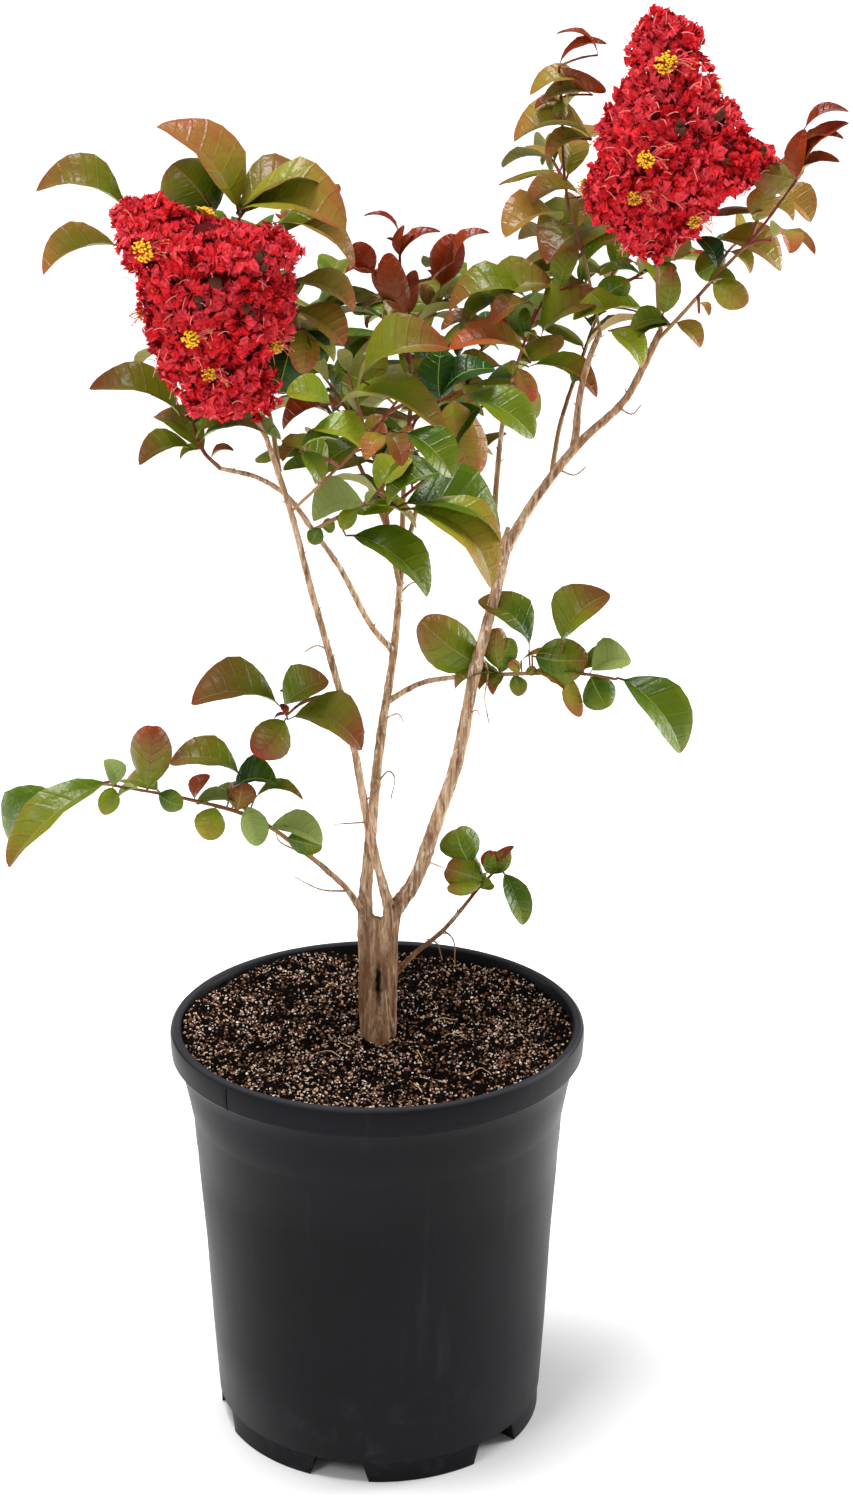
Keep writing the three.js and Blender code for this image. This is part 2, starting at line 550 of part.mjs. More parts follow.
// A flower head: a lumpy core set on a stalk, with florets that stand out of it all round.
// A row is [height, middle across, half its width], from the top row down.
function makeBlossom({ name, on, seed, stalk, depthAt, rows, florets }) {
  const random = dice(seed);
  const top = rows[0][0];
  const low = rows[rows.length - 1][0];
  const onCore = (turn, height, out) => {
    const half = rowValue(rows, 2, height) + out;
    return new THREE.Vector3(rowValue(rows, 1, height) + half * Math.cos(turn),
      depthAt + half * BLOSSOM_DEPTH * Math.sin(turn), height);
  };
  const ball = new THREE.SphereGeometry(1, 9, 10);
  const core = solid(reshape(ball, (v) => {
    const height = THREE.MathUtils.lerp(low, top, (v.y + 1) / 2);
    const round = Math.hypot(v.x, v.z);
    const turn = Math.atan2(-v.z, v.x);
    const lump = 2 * Math.sin(turn * 5 + height * 0.4) * Math.min(1, round * 2);
    const spot = onCore(turn, height, lump - FLORET.out);
    const axis = new THREE.Vector3(rowValue(rows, 1, height), depthAt, height);
    return round < 0.01 ? axis : axis.lerp(spot, Math.min(1, round * 1.5));
  }));
  if (touchesOthers(name, core)) throw new Error(`${name}: its core is in the way`);
  const parts = [core];
  for (let i = 0; i < florets; i += 1) {
    const height = THREE.MathUtils.lerp(low, top, (i + random()) / florets);
    const turn = i * GOLDEN_TURN + random() * 0.6;
    const spot = onCore(turn, height, -FLORET.length / 2);
    const way = new THREE.Vector3(Math.cos(turn), Math.sin(turn), random() - 0.5).normalize();
    const petal = new THREE.OctahedronGeometry(0.5, 0).scale(FLORET.thick, FLORET.width, FLORET.length);
    petal.rotateZ(random() * Math.PI);
    petal.applyQuaternion(new THREE.Quaternion().setFromUnitVectors(UP, way));
    petal.translate(spot.x, spot.y, spot.z);
    const floret = solid(petal);
    if (!touchesOthers(name, floret)) parts.push(floret);
  }
  const curve = runThrough(stalk);
  parts.push(carried(name, on, curve, [1.4, 1.2], 5));
  const body = largest(wasm.Manifold.union(parts));
  occupy(name, body);
  addNode(name, body, finishes.blossom);
}

const BLOSSOMS = [
  { name: 'left_blossom', on: 'left_stem', seed: 31, depthAt: -60, florets: 34,
    stalk: [[-53, -43, 576], [-58, -50, 588], [-66, -57, 612]],
    rows: [[703, -104, 10], [692, -102, 24], [674, -80, 46], [653, -75, 41], [634, -75, 38],
      [613, -77, 29], [598, -70, 25], [588, -70, 12]] },
  { name: 'right_blossom', on: 'right_upper_stem', seed: 32, depthAt: 0, florets: 34,
    stalk: [[147, 0, 622], [145, 0, 640], [144, 0, 668]],
    rows: [[782, 142, 8], [768, 147, 19], [750, 147, 23], [730, 150, 38], [712, 156, 47],
      [692, 145, 39], [673, 143, 24], [656, 144, 10]] },
];

// ---- Assembly ------------------------------------------------------------

makePot();
makeSoil();
makeTrunk();
BOUGHS.forEach(makeBough);
const stems = MASSES.map(makeStem);
BLOSSOMS.forEach(makeBlossom);
stems.forEach(makeMass);

const group = new THREE.Group();
for (const { name, body, material } of nodes) {
  const mesh = new THREE.Mesh(toGeometry(body), material);
  mesh.name = name;
  group.add(mesh);
}

export default group;
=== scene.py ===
"""A young crape myrtle in a black nursery pot, in leaf and in flower.

Sizes and places are in millimetres, +Z up, with the origin at the centre of the pot's flat
underside. A piece's points become metres when its mesh is made. The textures of the materials and
the places of the lamps are in metres.
"""

import math
from collections import namedtuple

import bpy
import numpy as np
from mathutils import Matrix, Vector, noise


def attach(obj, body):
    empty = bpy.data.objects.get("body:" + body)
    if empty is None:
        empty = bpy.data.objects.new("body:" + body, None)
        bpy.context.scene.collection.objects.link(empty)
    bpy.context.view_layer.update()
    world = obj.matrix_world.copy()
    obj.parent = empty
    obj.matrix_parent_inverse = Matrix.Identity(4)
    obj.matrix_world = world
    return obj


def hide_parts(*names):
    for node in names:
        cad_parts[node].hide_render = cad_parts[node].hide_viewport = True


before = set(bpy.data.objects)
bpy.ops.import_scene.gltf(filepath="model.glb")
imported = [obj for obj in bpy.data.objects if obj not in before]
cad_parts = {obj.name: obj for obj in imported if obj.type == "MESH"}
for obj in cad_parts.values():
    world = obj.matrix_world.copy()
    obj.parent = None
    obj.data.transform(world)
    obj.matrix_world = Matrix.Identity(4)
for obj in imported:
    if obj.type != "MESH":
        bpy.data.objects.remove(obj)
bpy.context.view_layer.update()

MM = 0.001
UP = np.array([0.0, 0.0, 1.0])
FRONT = np.array([0.0, -1.0, 0.0])

# ---- Driving sizes ---------------------------------------------------------

POT_HEIGHT = 238
RIM_RADIUS = 115
BASE_RADIUS = 91.5
POT_WALL = 2.4
POT_SEGMENTS = 160
FOOT_NOTCHES = 6
# The notches: width at their lower and upper edge, distance of their inner end, turn of the first
NOTCH = {"height": 12, "wide": 34, "narrow": 27, "inner": 66, "first": -43.5}

SOIL_TOP = 233.5
SOIL_RADIUS = 107.7
SOIL_FLOOR = 16
SOIL_RINGS, SOIL_SEGMENTS = 64, 180
LEVEL_WITHIN = 19           # distance from the trunk within which the soil is level
TRUNK_DISH = 4.5            # how far the soil dips at the trunk
DISH_SIZE, DISH_FORWARD = 23, 8     # how wide the dip is, and how far before the trunk

# The box that leaves grown by rule keep inside
CROWN_LOW = np.array([-203, -160, 290])
CROWN_HIGH = np.array([237.5, 175, 785])
LEAF_WIDTH = 0.52           # of a leaf's length
LEAF_ARCH = 0.17            # how far its middle rises over the line from root to tip
ROOT_STEP = 2.2             # how far the roots of leaves that share a joint are spread along the twig
LEAF_THICK = 0.3
TWIG_RADIUS = 1.1
TWIG_TIP_RADIUS = 0.6
STEM_TIP_RADIUS = 0.7

BLOSSOM_DEPTH = 0.8         # a flower head's depth, of its width

# The view of the plant's best side, and the frame that its places are given in: across and down
VIEW = {"place": np.array([27.3, -1377.7, 862.5]), "pitch": math.radians(18.7), "lens": 64.92, "sensor": 36}
VIEW_FRAME = np.array([853, 1500])
VIEW_REACH = VIEW["lens"] / VIEW["sensor"] * VIEW_FRAME[1]
VIEW_AHEAD = np.array([0, math.cos(VIEW["pitch"]), -math.sin(VIEW["pitch"])])
VIEW_UP = np.array([0, math.sin(VIEW["pitch"]), math.cos(VIEW["pitch"])])


def seen(across, down, depth):
    """The point at a depth (Y) that shows at a place of the view."""
    ray = (VIEW_AHEAD * VIEW_REACH + np.array([across - VIEW_FRAME[0] / 2, 0, 0])
           + VIEW_UP * (VIEW_FRAME[1] / 2 - down))
    return VIEW["place"] + ray * (depth - VIEW["place"][1]) / ray[1]


def shows_at(points):
    """Where points show in the view."""
    from_view = points - VIEW["place"]
    ahead = from_view @ VIEW_AHEAD
    return np.stack([VIEW_FRAME[0] / 2 + VIEW_REACH * from_view[:, 0] / ahead,
                     VIEW_FRAME[1] / 2 - VIEW_REACH * (from_view @ VIEW_UP) / ahead], axis=-1)


# ---- Mesh making -----------------------------------------------------------


def unit(v):
    return v / np.linalg.norm(v)


def turns_of(count):
    """Evenly spaced turns of a full circle, in radians."""
    return np.arange(count) * 2 * math.pi / count


def swing(ahead, square, turn):
    """ahead, turned towards a direction square to it."""
    return ahead * math.cos(turn) + square * math.sin(turn)


def smoothstep(x, low, high):
    t = np.clip((x - low) / (high - low), 0, 1)
    return t * t * (3 - 2 * t)


class Dice:
    """A repeatable stream of numbers from 0 to 1, the same as in the part's source."""

    MASK = 0xFFFFFFFF

    def __init__(self, seed):
        self.state = seed & self.MASK

    def __call__(self):
        self.state = (self.state + 0x6D2B79F5) & self.MASK
        mixed = self.state
        mixed = ((mixed ^ (mixed >> 15)) * (mixed | 1)) & self.MASK
        mixed ^= (mixed + (mixed ^ (mixed >> 7)) * (mixed | 61)) & self.MASK
        return ((mixed ^ (mixed >> 14)) & self.MASK) / 4294967296


class Batch:
    """Points and faces of one joined mesh, gathered part by part."""

    def __init__(self):
        self.points, self.faces, self.finishes, self.uvs = [], [], [], []
        self.count = 0

    def add(self, points, faces, finish=0, uv=None):
        """faces is a block of faces or a list of blocks. finish is a material's number, a number for
        each face, or a list with either for each block. uv has a row for each point."""
        points = np.asarray(points, float)
        self.points.append(points)
        self.uvs.append(np.zeros((len(points), 2)) if uv is None else uv)
        blocks = faces if isinstance(faces, list) else [faces]
        finishes = finish if isinstance(finish, list) else [finish] * len(blocks)
        for block, numbers in zip(blocks, finishes):
            self.faces.append(np.asarray(block) + self.count)
            self.finishes.append(np.broadcast_to(numbers, len(block)))
        self.count += len(points)


def link(name, data):
    """An object in the scene for a mesh, a light or a camera."""
    piece = bpy.data.objects.new(name, data)
    bpy.context.scene.collection.objects.link(piece)
    return piece


def make_piece(name, batch, materials, sharp_deg=60, smooth=True):
    """A mesh object in metres from a batch, with edges over sharp_deg left sharp."""
    mesh = bpy.data.meshes.new(name)
    points = np.concatenate(batch.points) * MM
    corners = np.concatenate([f.ravel() for f in batch.faces]).astype(np.int32)
    sizes = np.concatenate([np.full(len(f), f.shape[1]) for f in batch.faces])
    mesh.vertices.add(len(points))
    mesh.vertices.foreach_set("co", points.ravel())
    mesh.loops.add(len(corners))
    mesh.loops.foreach_set("vertex_index", corners)
    mesh.polygons.add(len(sizes))
    mesh.polygons.foreach_set("loop_start", np.concatenate([[0], np.cumsum(sizes)[:-1]]).astype(np.int32))
    mesh.polygons.foreach_set("material_index", np.concatenate(batch.finishes).astype(np.int32))
    mesh.polygons.foreach_set("use_smooth", np.full(len(sizes), smooth))
    uv = mesh.uv_layers.new(name="UVMap")
    uv.data.foreach_set("uv", np.concatenate(batch.uvs)[corners].ravel())
    mesh.update(calc_edges=True)
    mesh.validate()
    mesh.set_sharp_from_angle(angle=math.radians(sharp_deg))
    for material in materials:
        mesh.materials.append(material)
    return link(name, mesh)


def grid_faces(rows, columns, closed=False):
    """Quads of a grid of points, row by row; closed joins the last column to the first."""
    across = np.arange(columns if closed else columns - 1)
    row = np.arange(rows - 1)[:, None]
    a = row * columns + across
    b = row * columns + (across + 1) % columns
    return np.stack([a, a + columns, b + columns, b], axis=-1).reshape(-1, 4)


def closed_skin(rings, low, high):
    """Points and faces of a closed body from rings of points in order, and a point at each end."""
    count, sides = rings.shape[:2]
    ends, last = count * sides, (count - 1) * sides
    around = np.arange(sides)
    after = (around + 1) % sides
    walls = grid_faces(count, sides, closed=True)[:, ::-1]
    caps = [np.stack([np.full(sides, ends), after, around], axis=-1),
            np.stack([np.full(sides, ends + 1), last + around, last + after], axis=-1)]
    return np.concatenate([rings.reshape(-1, 3), [low, high]]), [walls, *caps]


def circle(radius, height, segments):
    """Points of a level circle round the axis."""
    angle = turns_of(segments)
    return np.stack([radius * np.cos(angle), radius * np.sin(angle), np.full(segments, height)], axis=-1)


def lathe(profile, segments):
    """A closed turned body from a list of (radius, height) that starts and ends on the axis."""
    rings = np.array([circle(radius, height, segments) for radius, height in profile[1:-1]])
    return closed_skin(rings, (0, 0, profile[0][1]), (0, 0, profile[-1][1]))


def turned_piece(name, profile, segments, materials):
    batch = Batch()
    batch.add(*lathe(profile, segments))
    return make_piece(name, batch, materials, sharp_deg=40)


def with_modifier(piece, kind, **settings):
    """Applies one modifier to a piece through a new mesh."""
    modifier = piece.modifiers.new(kind.lower(), kind)
    for key, value in settings.items():
        setattr(modifier, key, value)
    done = bpy.data.meshes.new_from_object(piece.evaluated_get(bpy.context.evaluated_depsgraph_get()))
    piece.modifiers.clear()
    old, piece.data = piece.data, done
    done.name = piece.name
    bpy.data.meshes.remove(old)
    return piece


def cut_away(piece, cutter):
    with_modifier(piece, "BOOLEAN", operation="DIFFERENCE", solver="EXACT", object=cutter)
    bpy.data.objects.remove(cutter)
    return piece


# ---- Runs and tubes --------------------------------------------------------


class Run:
    """A line through space, asked by shares of its length."""

    def __init__(self, points):
        self.points = np.asarray(points, float)
        steps = np.linalg.norm(np.diff(self.points, axis=0), axis=1)
        self.along = np.concatenate([[0], np.cumsum(steps)])
        self.length = self.along[-1]

    def at(self, share):
        distance = np.asarray(share) * self.length
        return np.stack([np.interp(distance, self.along, self.points[:, k]) for k in range(3)], axis=-1)

    def way(self, share):
        reach = 1 / self.length
        return unit(self.at(min(1, share + reach)) - self.at(max(0, share - reach)))

    def stretch(self, start, end, step=1.0):
        count = max(2, round(self.length * (end - start) / step) + 1)
        return Run(self.at(np.linspace(start, end, count)))


def smooth_run(points, per_stretch=16):
    """A centripetal Catmull-Rom curve through the points."""
    p = np.array(points, float)
    p = np.concatenate([[2 * p[0] - p[1]], p, [2 * p[-1] - p[-2]]])
    t = np.linspace(0, 1, per_stretch, endpoint=False)[:, None]
    line = []
    for p0, p1, p2, p3 in zip(p, p[1:], p[2:], p[3:]):
        d0, d1, d2 = (math.sqrt(np.linalg.norm(b - a)) for a, b in ((p0, p1), (p1, p2), (p2, p3)))
        m1 = ((p1 - p0) / d0 - (p2 - p0) / (d0 + d1) + (p2 - p1) / d1) * d1
        m2 = ((p2 - p1) / d1 - (p3 - p1) / (d1 + d2) + (p3 - p2) / d2) * d1
        line.append(p1 + m1 * t + (3 * (p2 - p1) - 2 * m1 - m2) * t**2 + (2 * (p1 - p2) + m1 + m2) * t**3)
    return Run(np.concatenate([*line, [p[-2]]]))


def bowed_run(start, end, bow, steps=16):
    """A quadratic curve whose middle control point is raised by bow."""
    t = np.linspace(0, 1, steps)[:, None]
    middle = (start + end) / 2 + UP * bow
    return Run((1 - t)**2 * start + 2 * t * (1 - t) * middle + t**2 * end)


def tube(run, root, tip, sides, step=2.0, relief=None):
    """Points and faces of a tapering closed tube. relief(turn, distance, radius) is added to
    the radius at a turn round the tube and a distance along it."""
    line = run.stretch(0, 1, step)
    count = len(line.points)
    ways = np.gradient(line.points, axis=0)
    ways /= np.linalg.norm(ways, axis=1)[:, None]
    side = unit(np.cross(ways[0], [0.31, 0.87, 0.2]))
    turn = turns_of(sides)
    rings = []
    for i in range(count):
        side = unit(side - ways[i] * (side @ ways[i]))
        over = np.cross(ways[i], side)
        radius = root + (tip - root) * i / (count - 1)
        if relief:
            radius = radius + np.array([relief(a, line.along[i], radius) for a in turn])
        rings.append(line.points[i] + (np.cos(turn)[:, None] * side + np.sin(turn)[:, None] * over)
                     * np.broadcast_to(radius, sides)[:, None])
    return closed_skin(np.array(rings), line.points[0], line.points[-1])


# ---- Materials -------------------------------------------------------------


def linear(hex_colour):
    """A colour such as "5B7A2A" as linear red, green and blue."""
    parts = np.array([int(hex_colour[i:i + 2], 16) / 255 for i in (0, 2, 4)])
    return np.where(parts <= 0.04045, parts / 12.92, ((parts + 0.055) / 1.055)**2.4)


def add_node(tree, kind, inputs, settings):
    """A new node of a tree. An input is a value or the socket that feeds it."""
    made = tree.nodes.new(kind)
    for key, value in settings.items():
        setattr(made, key, value)
    for socket, value in inputs.items():
        if isinstance(value, bpy.types.NodeSocket):
            tree.links.new(value, made.inputs[socket])
        else:
            made.inputs[socket].default_value = value
    return made


class Finish:
    """A material and short ways to add and join its nodes."""

    MIX_INPUTS, MIX_OUTPUT = (6, 7), 2      # the colour sockets of a mix node

    def __init__(self, name, colour, roughness=0.5, shine=0.5):
        self.material = bpy.data.materials.new(name)
        self.material.use_nodes = True
        self.tree = self.material.node_tree
        self.shader = self.tree.nodes["Principled BSDF"]
        rgb = linear(colour) if isinstance(colour, str) else colour
        self.shader.inputs["Base Color"].default_value = (*rgb, 1)
        self.shader.inputs["Roughness"].default_value = roughness
        self.shader.inputs["Specular IOR Level"].default_value = shine
        self.material.diffuse_color = (*rgb, 1)

    def node(self, kind, inputs=None, **settings):
        return add_node(self.tree, "ShaderNode" + kind, inputs or {}, settings)

    def place(self, scale=(1, 1, 1)):
        """Object coordinates in metres, stretched by scale."""
        where = self.node("TexCoord").outputs["Object"]
        return self.node("Mapping", {"Vector": where, "Scale": scale}).outputs["Vector"]

    def noise(self, where, scale, detail=3, roughness=0.55):
        return self.node("TexNoise", {"Vector": where, "Scale": scale, "Detail": detail,
                                      "Roughness": roughness}).outputs["Fac"]

    def grain(self, stretch, detail, roughness):
        """Noise stretched along the axes."""
        return self.noise(self.place(stretch), 1.0, detail, roughness)

    def noise_shifted(self, where, scale, far):
        """A place moved about by noise, up to half of far each way."""
        cloud = self.node("TexNoise", {"Vector": where, "Scale": scale, "Detail": 2}).outputs["Color"]
        centred = self.node("VectorMath", {0: cloud, 1: (0.5, 0.5, 0.5)}, operation="SUBTRACT").outputs[0]
        moved = self.node("VectorMath", {0: centred, "Scale": far}, operation="SCALE").outputs[0]
        return self.node("VectorMath", {0: where, 1: moved}, operation="ADD").outputs[0]

    def ramp(self, value, *stops):
        """Colours along a value: stops are (position, hex colour)."""
        made = self.node("ValToRGB", {"Fac": value})
        elements = made.color_ramp.elements
        while len(elements) < len(stops):
            elements.new(0.5)
        for element, (position, colour) in zip(elements, stops):
            element.position = position
            element.color = (*linear(colour), 1)
        return made.outputs["Color"]

    def between(self, value, low, high, to_low=0.0, to_high=1.0):
        return self.node("MapRange", {"Value": value, "From Min": low, "From Max": high,
                                      "To Min": to_low, "To Max": to_high}).outputs["Result"]

    def math(self, operation, a, b=0.0):
        return self.node("Math", {0: a, 1: b}, operation=operation).outputs[0]

    def times(self, a, b):
        return self.math("MULTIPLY", a, b)

    def parts(self, vector):
        """The X, Y and Z of a vector."""
        return self.node("SeparateXYZ", {"Vector": vector}).outputs

    def mix(self, share, *colours):
        """The first colour with a share of the second: each is a socket or a hex colour."""
        inputs = {"Factor": share}
        for socket, colour in zip(self.MIX_INPUTS, colours):
            inputs[socket] = (*linear(colour), 1) if isinstance(colour, str) else colour
        return self.node("Mix", inputs, data_type="RGBA").outputs[self.MIX_OUTPUT]

    def coats(self, colour, *layers):
        """A colour under layers of others, each given as (how much of it shows, colour)."""
        for share, over in layers:
            colour = self.mix(share, colour, over)
        return colour

    def bump(self, height, distance, strength=1.0, under=None):
        """Bump of a height from 0 to 1 that stands distance (metres) high."""
        inputs = {"Height": height, "Distance": distance, "Strength": strength}
        if under is not None:
            inputs["Normal"] = under
        return self.node("Bump", inputs).outputs["Normal"]

    def use(self, **sockets):
        for socket, value in sockets.items():
            self.tree.links.new(value, self.shader.inputs[socket.replace("_", " ")])
        return self.material


def plastic_finish():
    """Satin black moulded plastic: faint orange peel, drag marks, dusty scuffs near the foot and a
    painted highlight along the top of the rim."""
    f = Finish("satin_black_plastic", "111114", shine=0.09)
    where = f.place()
    cloud = f.noise(where, 9, 4)
    height = f.parts(where)["Z"]
    streaks = f.grain((60, 60, 6), 5, 0.7)
    specks = f.noise(where, 900, 2)
    low_down = f.between(height, 0.07, 0.0)
    scuffs = f.times(f.between(f.noise(where, 70, 6, 0.7), 0.52, 0.72), low_down)
    rubs = f.times(f.between(streaks, 0.6, 0.8), 0.22)
    wear = f.math("MAXIMUM", f.times(scuffs, 0.45), rubs)
    # painted highlight: the top 1.2 mm of the rim is a paler grey
    painted_rim_highlight = f.between(height, POT_HEIGHT * MM - 0.0012, POT_HEIGHT * MM, 0, 0.45)
    base = f.mix(f.between(cloud, 0.35, 0.65), "0E0E11", "141418")
    colour = f.coats(base, (wear, "3C3C40"), (painted_rim_highlight, "46464C"))
    rough = f.math("ADD", f.between(cloud, 0.3, 0.7, 0.34, 0.46), f.times(wear, 0.3))
    fine = f.bump(specks, 0.00004, 0.5)
    return f.use(Base_Color=colour, Roughness=rough, Normal=f.bump(streaks, 0.00025, 0.35, fine))


def soil_finish():
    """Dark damp peat between the grains."""
    f = Finish("dark_peat", "1C120D", roughness=0.95, shine=0.05)
    where = f.place()
    crumbs = f.noise(where, 420, 4, 0.65)
    colour = f.ramp(crumbs, (0.35, "020100"), (0.55, "0A0503"), (0.75, "24150C"))
    return f.use(Base_Color=colour, Normal=f.bump(crumbs, 0.0012))


def grainy_finish(name, colour, roughness, high, scale, detail=3, stretch=(1, 1, 1), shine=0.5):
    """A plain colour with a fine relief of noise that stands high (metres)."""
    f = Finish(name, colour, roughness, shine)
    return f.use(Normal=f.bump(f.noise(f.place(stretch), scale, detail), high))


def bark_finish():
    """Dry tan bark: long cracks, pale peeling flecks, darker brown patches towards the foot, and the
    scar's groove painted near black as shade.
    """
    f = Finish("tan_bark", "B0906A", roughness=0.85, shine=0.15)
    where = f.place()
    height = f.parts(where)["Z"]
    grain = f.grain((700, 700, 70), 6, 0.65)
    patches = f.grain((90, 90, 30), 4, 0.6)
    flecks = f.grain((520, 520, 150), 3, 0.6)
    streaks = f.grain((300, 300, 20), 3, 0.5)
    # darker brown in patches towards the trunk's foot
    darker_low_patches = f.times(f.between(height, 0.33, 0.28), f.between(patches, 0.35, 0.6, 0.4, 0.9))
    colour = f.coats(
        f.ramp(grain, (0.32, "4A3022"), (0.42, "A0785A"), (0.55, "CEA886"), (0.7, "EED8BA")),
        (f.between(streaks, 0.5, 0.38, 0, 0.6), "5C402E"),
        (f.between(streaks, 0.54, 0.66, 0, 0.55), "E8D0B0"),
        (f.between(patches, 0.42, 0.65, 0, 0.5), "967254"),
        (f.between(flecks, 0.58, 0.68, 0, 0.8), "E8DCCA"),
        (darker_low_patches, "6E4A2C"),
        (f.between(height, 0.5, 0.62, 0, 0.45), "8A5A3C"),
        # painted shade: the scar's groove in near black
        (scar_painted_shade(f, where), "160E08"))
    relief = f.bump(grain, 0.0012, 0.9, f.bump(flecks, 0.0006, 0.7))
    return f.use(Base_Color=colour, Normal=relief)


def scar_painted_shade(f, where):
    """Painted shade: 1 in the groove of the trunk's scar, on its front side, with a ragged edge."""
    x, z = TRUNK_SCAR["place"][0], TRUNK_SCAR["place"][2]
    spot = f.parts(f.noise_shifted(where, 300, 0.0025))
    beside = f.math("ABSOLUTE", f.math("SUBTRACT", spot["X"], x * MM))
    above = f.math("ABSOLUTE", f.math("SUBTRACT", spot["Z"], z * MM))
    groove = f.times(f.between(beside, 0.0022, 0.0008), f.between(above, 0.014, 0.005))
    return f.times(groove, f.between(spot["Y"], -0.002, -0.005))


# One scale of leaf colour through the season: 0 is deep green, 1 is the dark red of a young shoot
SEASON = [(0.0, "0E2804"), (0.12, "264606"), (0.25, "485E0A"), (0.36, "5E6E10"), (0.46, "6E7018"),
          (0.54, "74641E"), (0.62, "785422"), (0.7, "7C4422"), (0.8, "843814"), (0.88, "8A300A"),
          (0.94, "7C2406"), (1.0, "5C1406")]
SEASON_STEPS = 21
VEINS = 7.0                 # side veins on each half of a leaf
# The pale shades, lighter copies of the season's colours, stand partly for the paler colour of young leaves
# and partly for painted light on leaves that show brightly lit
PALE = 1.5                  # how much lighter the pale shades are
LEAF_RIBS = ["7C8A30", "887034", "6E3020"]
RIB_LIMITS = (0.5, 0.8)     # places on the season scale where a leaf's tip takes the next rib colour
LEAF_UNDERSIDES = ["869650", "8A8642", "86703A", "7C3A26"]
STALK = "7A3A26"


def season_colour(value):
    """Linear colour at a place on the season scale."""
    places = [place for place, _ in SEASON]
    colours = np.array([linear(colour) for _, colour in SEASON])
    return np.array([np.interp(value, places, colours[:, k]) for k in range(3)])


def vein_relief(f):
    """Side veins that leave the midrib, read from the leaf's own map, over a fine blister."""
    along = f.parts(f.node("UVMap", uv_map="UVMap").outputs["UV"])["X"]
    veins = f.math("PINGPONG", f.times(along, VEINS), 0.5)
    ridge = f.between(veins, 0.0, 0.12, 1.0, 0.0)
    blister = f.noise(f.place(), 260, 2)
    return f.bump(ridge, 0.0005, 0.5, f.bump(blister, 0.0012, 0.45))


def leaf_finishes():
    """Upper faces through the season, plain and pale, then undersides, ribs and stalk. The pale ones
    are partly painted light.
    """
    finishes = []
    for shade, pale in (("plain", 1.0), ("pale", PALE)):
        for step in range(SEASON_STEPS):
            colour = np.minimum(season_colour(step / (SEASON_STEPS - 1)) * pale, 1)
            f = Finish(f"leaf_{shade}_{step:02d}", colour, roughness=0.3, shine=0.2)
            finishes.append(f.use(Normal=vein_relief(f)))
    for step, colour in enumerate(LEAF_UNDERSIDES):
        f = Finish(f"leaf_underside_{step}", colour, roughness=0.6, shine=0.2)
        finishes.append(f.use(Normal=vein_relief(f)))
    for step, colour in enumerate(LEAF_RIBS):
        finishes.append(Finish(f"leaf_rib_{step}", colour, roughness=0.5).material)
    finishes.append(Finish("leaf_stalk", STALK, roughness=0.5).material)
    return finishes


UNDER_FIRST = 2 * SEASON_STEPS
RIB_FIRST = UNDER_FIRST + len(LEAF_UNDERSIDES)
STALK_FINISH = RIB_FIRST + len(LEAF_RIBS)

TWIG_COLOURS = ["9A7650", "7A4C32", "6E2C1A"]


def twig_finishes():
    return [grainy_finish(f"twig_bark_{step}", colour, 0.65, 0.0004, 1.0, stretch=(900, 900, 160),
                          shine=0.2)
            for step, colour in enumerate(TWIG_COLOURS)]


PETAL_REDS = ["FF4A56", "FF343E", "F0242C", "BC121A", "60060C"]
BUD_FINISH = len(PETAL_REDS)


def petal_finishes():
    """The reds, and the dark buds after them."""
    finishes = [grainy_finish(f"petal_red_{step}", colour, 0.7, 0.0014, 1500, shine=0.12)
                for step, colour in enumerate(PETAL_REDS)]
    finishes.append(grainy_finish("flower_bud", "4E2C1E", 0.85, 0.0004, 700, shine=0.1))
    return finishes


# Finishes of the anthers, stamens and stalks: name, colour, roughness
THREADS = [("anther_yellow", "F4C414", 0.6), ("anther_amber", "C8861E", 0.6),
           ("stamen_pink", "D4605C", 0.5), ("flower_stalk", "96704A", 0.7), ("stamen_pale", "F09088", 0.5)]
YELLOW, AMBER, PINK, STALK_BROWN, PALE_PINK = range(len(THREADS))


def stamen_finishes():
    return [grainy_finish(name, colour, roughness, 0.0001, 2000, 2) for name, colour, roughness in THREADS]


# ---- Pot -------------------------------------------------------------------

POT_OUTSIDE = [
    (BASE_RADIUS, 0), (BASE_RADIUS + 0.3, 0.4), (92.0, 12.6), (92.7, 13.6), (95.5, 58), (98, 110),
    (100.9, 150), (101.9, 168), (102.3, 169.2), (103.4, 188), (104.1, 189.6), (106.8, 204),
    (108.7, 213), (110.6, 220), (111.6, 221.6), (RIM_RADIUS - 1.4, 222.4), (RIM_RADIUS - 0.5, 223.6),
    (RIM_RADIUS - 0.1, 229), (RIM_RADIUS, 234.4), (RIM_RADIUS - 0.5, 236.6), (RIM_RADIUS - 1.9, POT_HEIGHT),
]
POT_INSIDE = [
    (RIM_RADIUS - 4.6, POT_HEIGHT), (109.3, 237.2), (108.6, 235.4), (107.4, 228), (104, 206),
    (100.5, 189), (95, 110), (BASE_RADIUS - POT_WALL, 12), (86, POT_WALL),
]
RIM_NICK = {"turn": -133.0, "inner": RIM_RADIUS - 2.1, "outer": RIM_RADIUS + 9, "low": 218, "high": 236,
            "wide": 0.9, "narrow": 0.9}
POT_EDGE = 0.35             # width of the rounding on the pot's edges
CUT_BEYOND = 6              # how far a cutter reaches past what it cuts


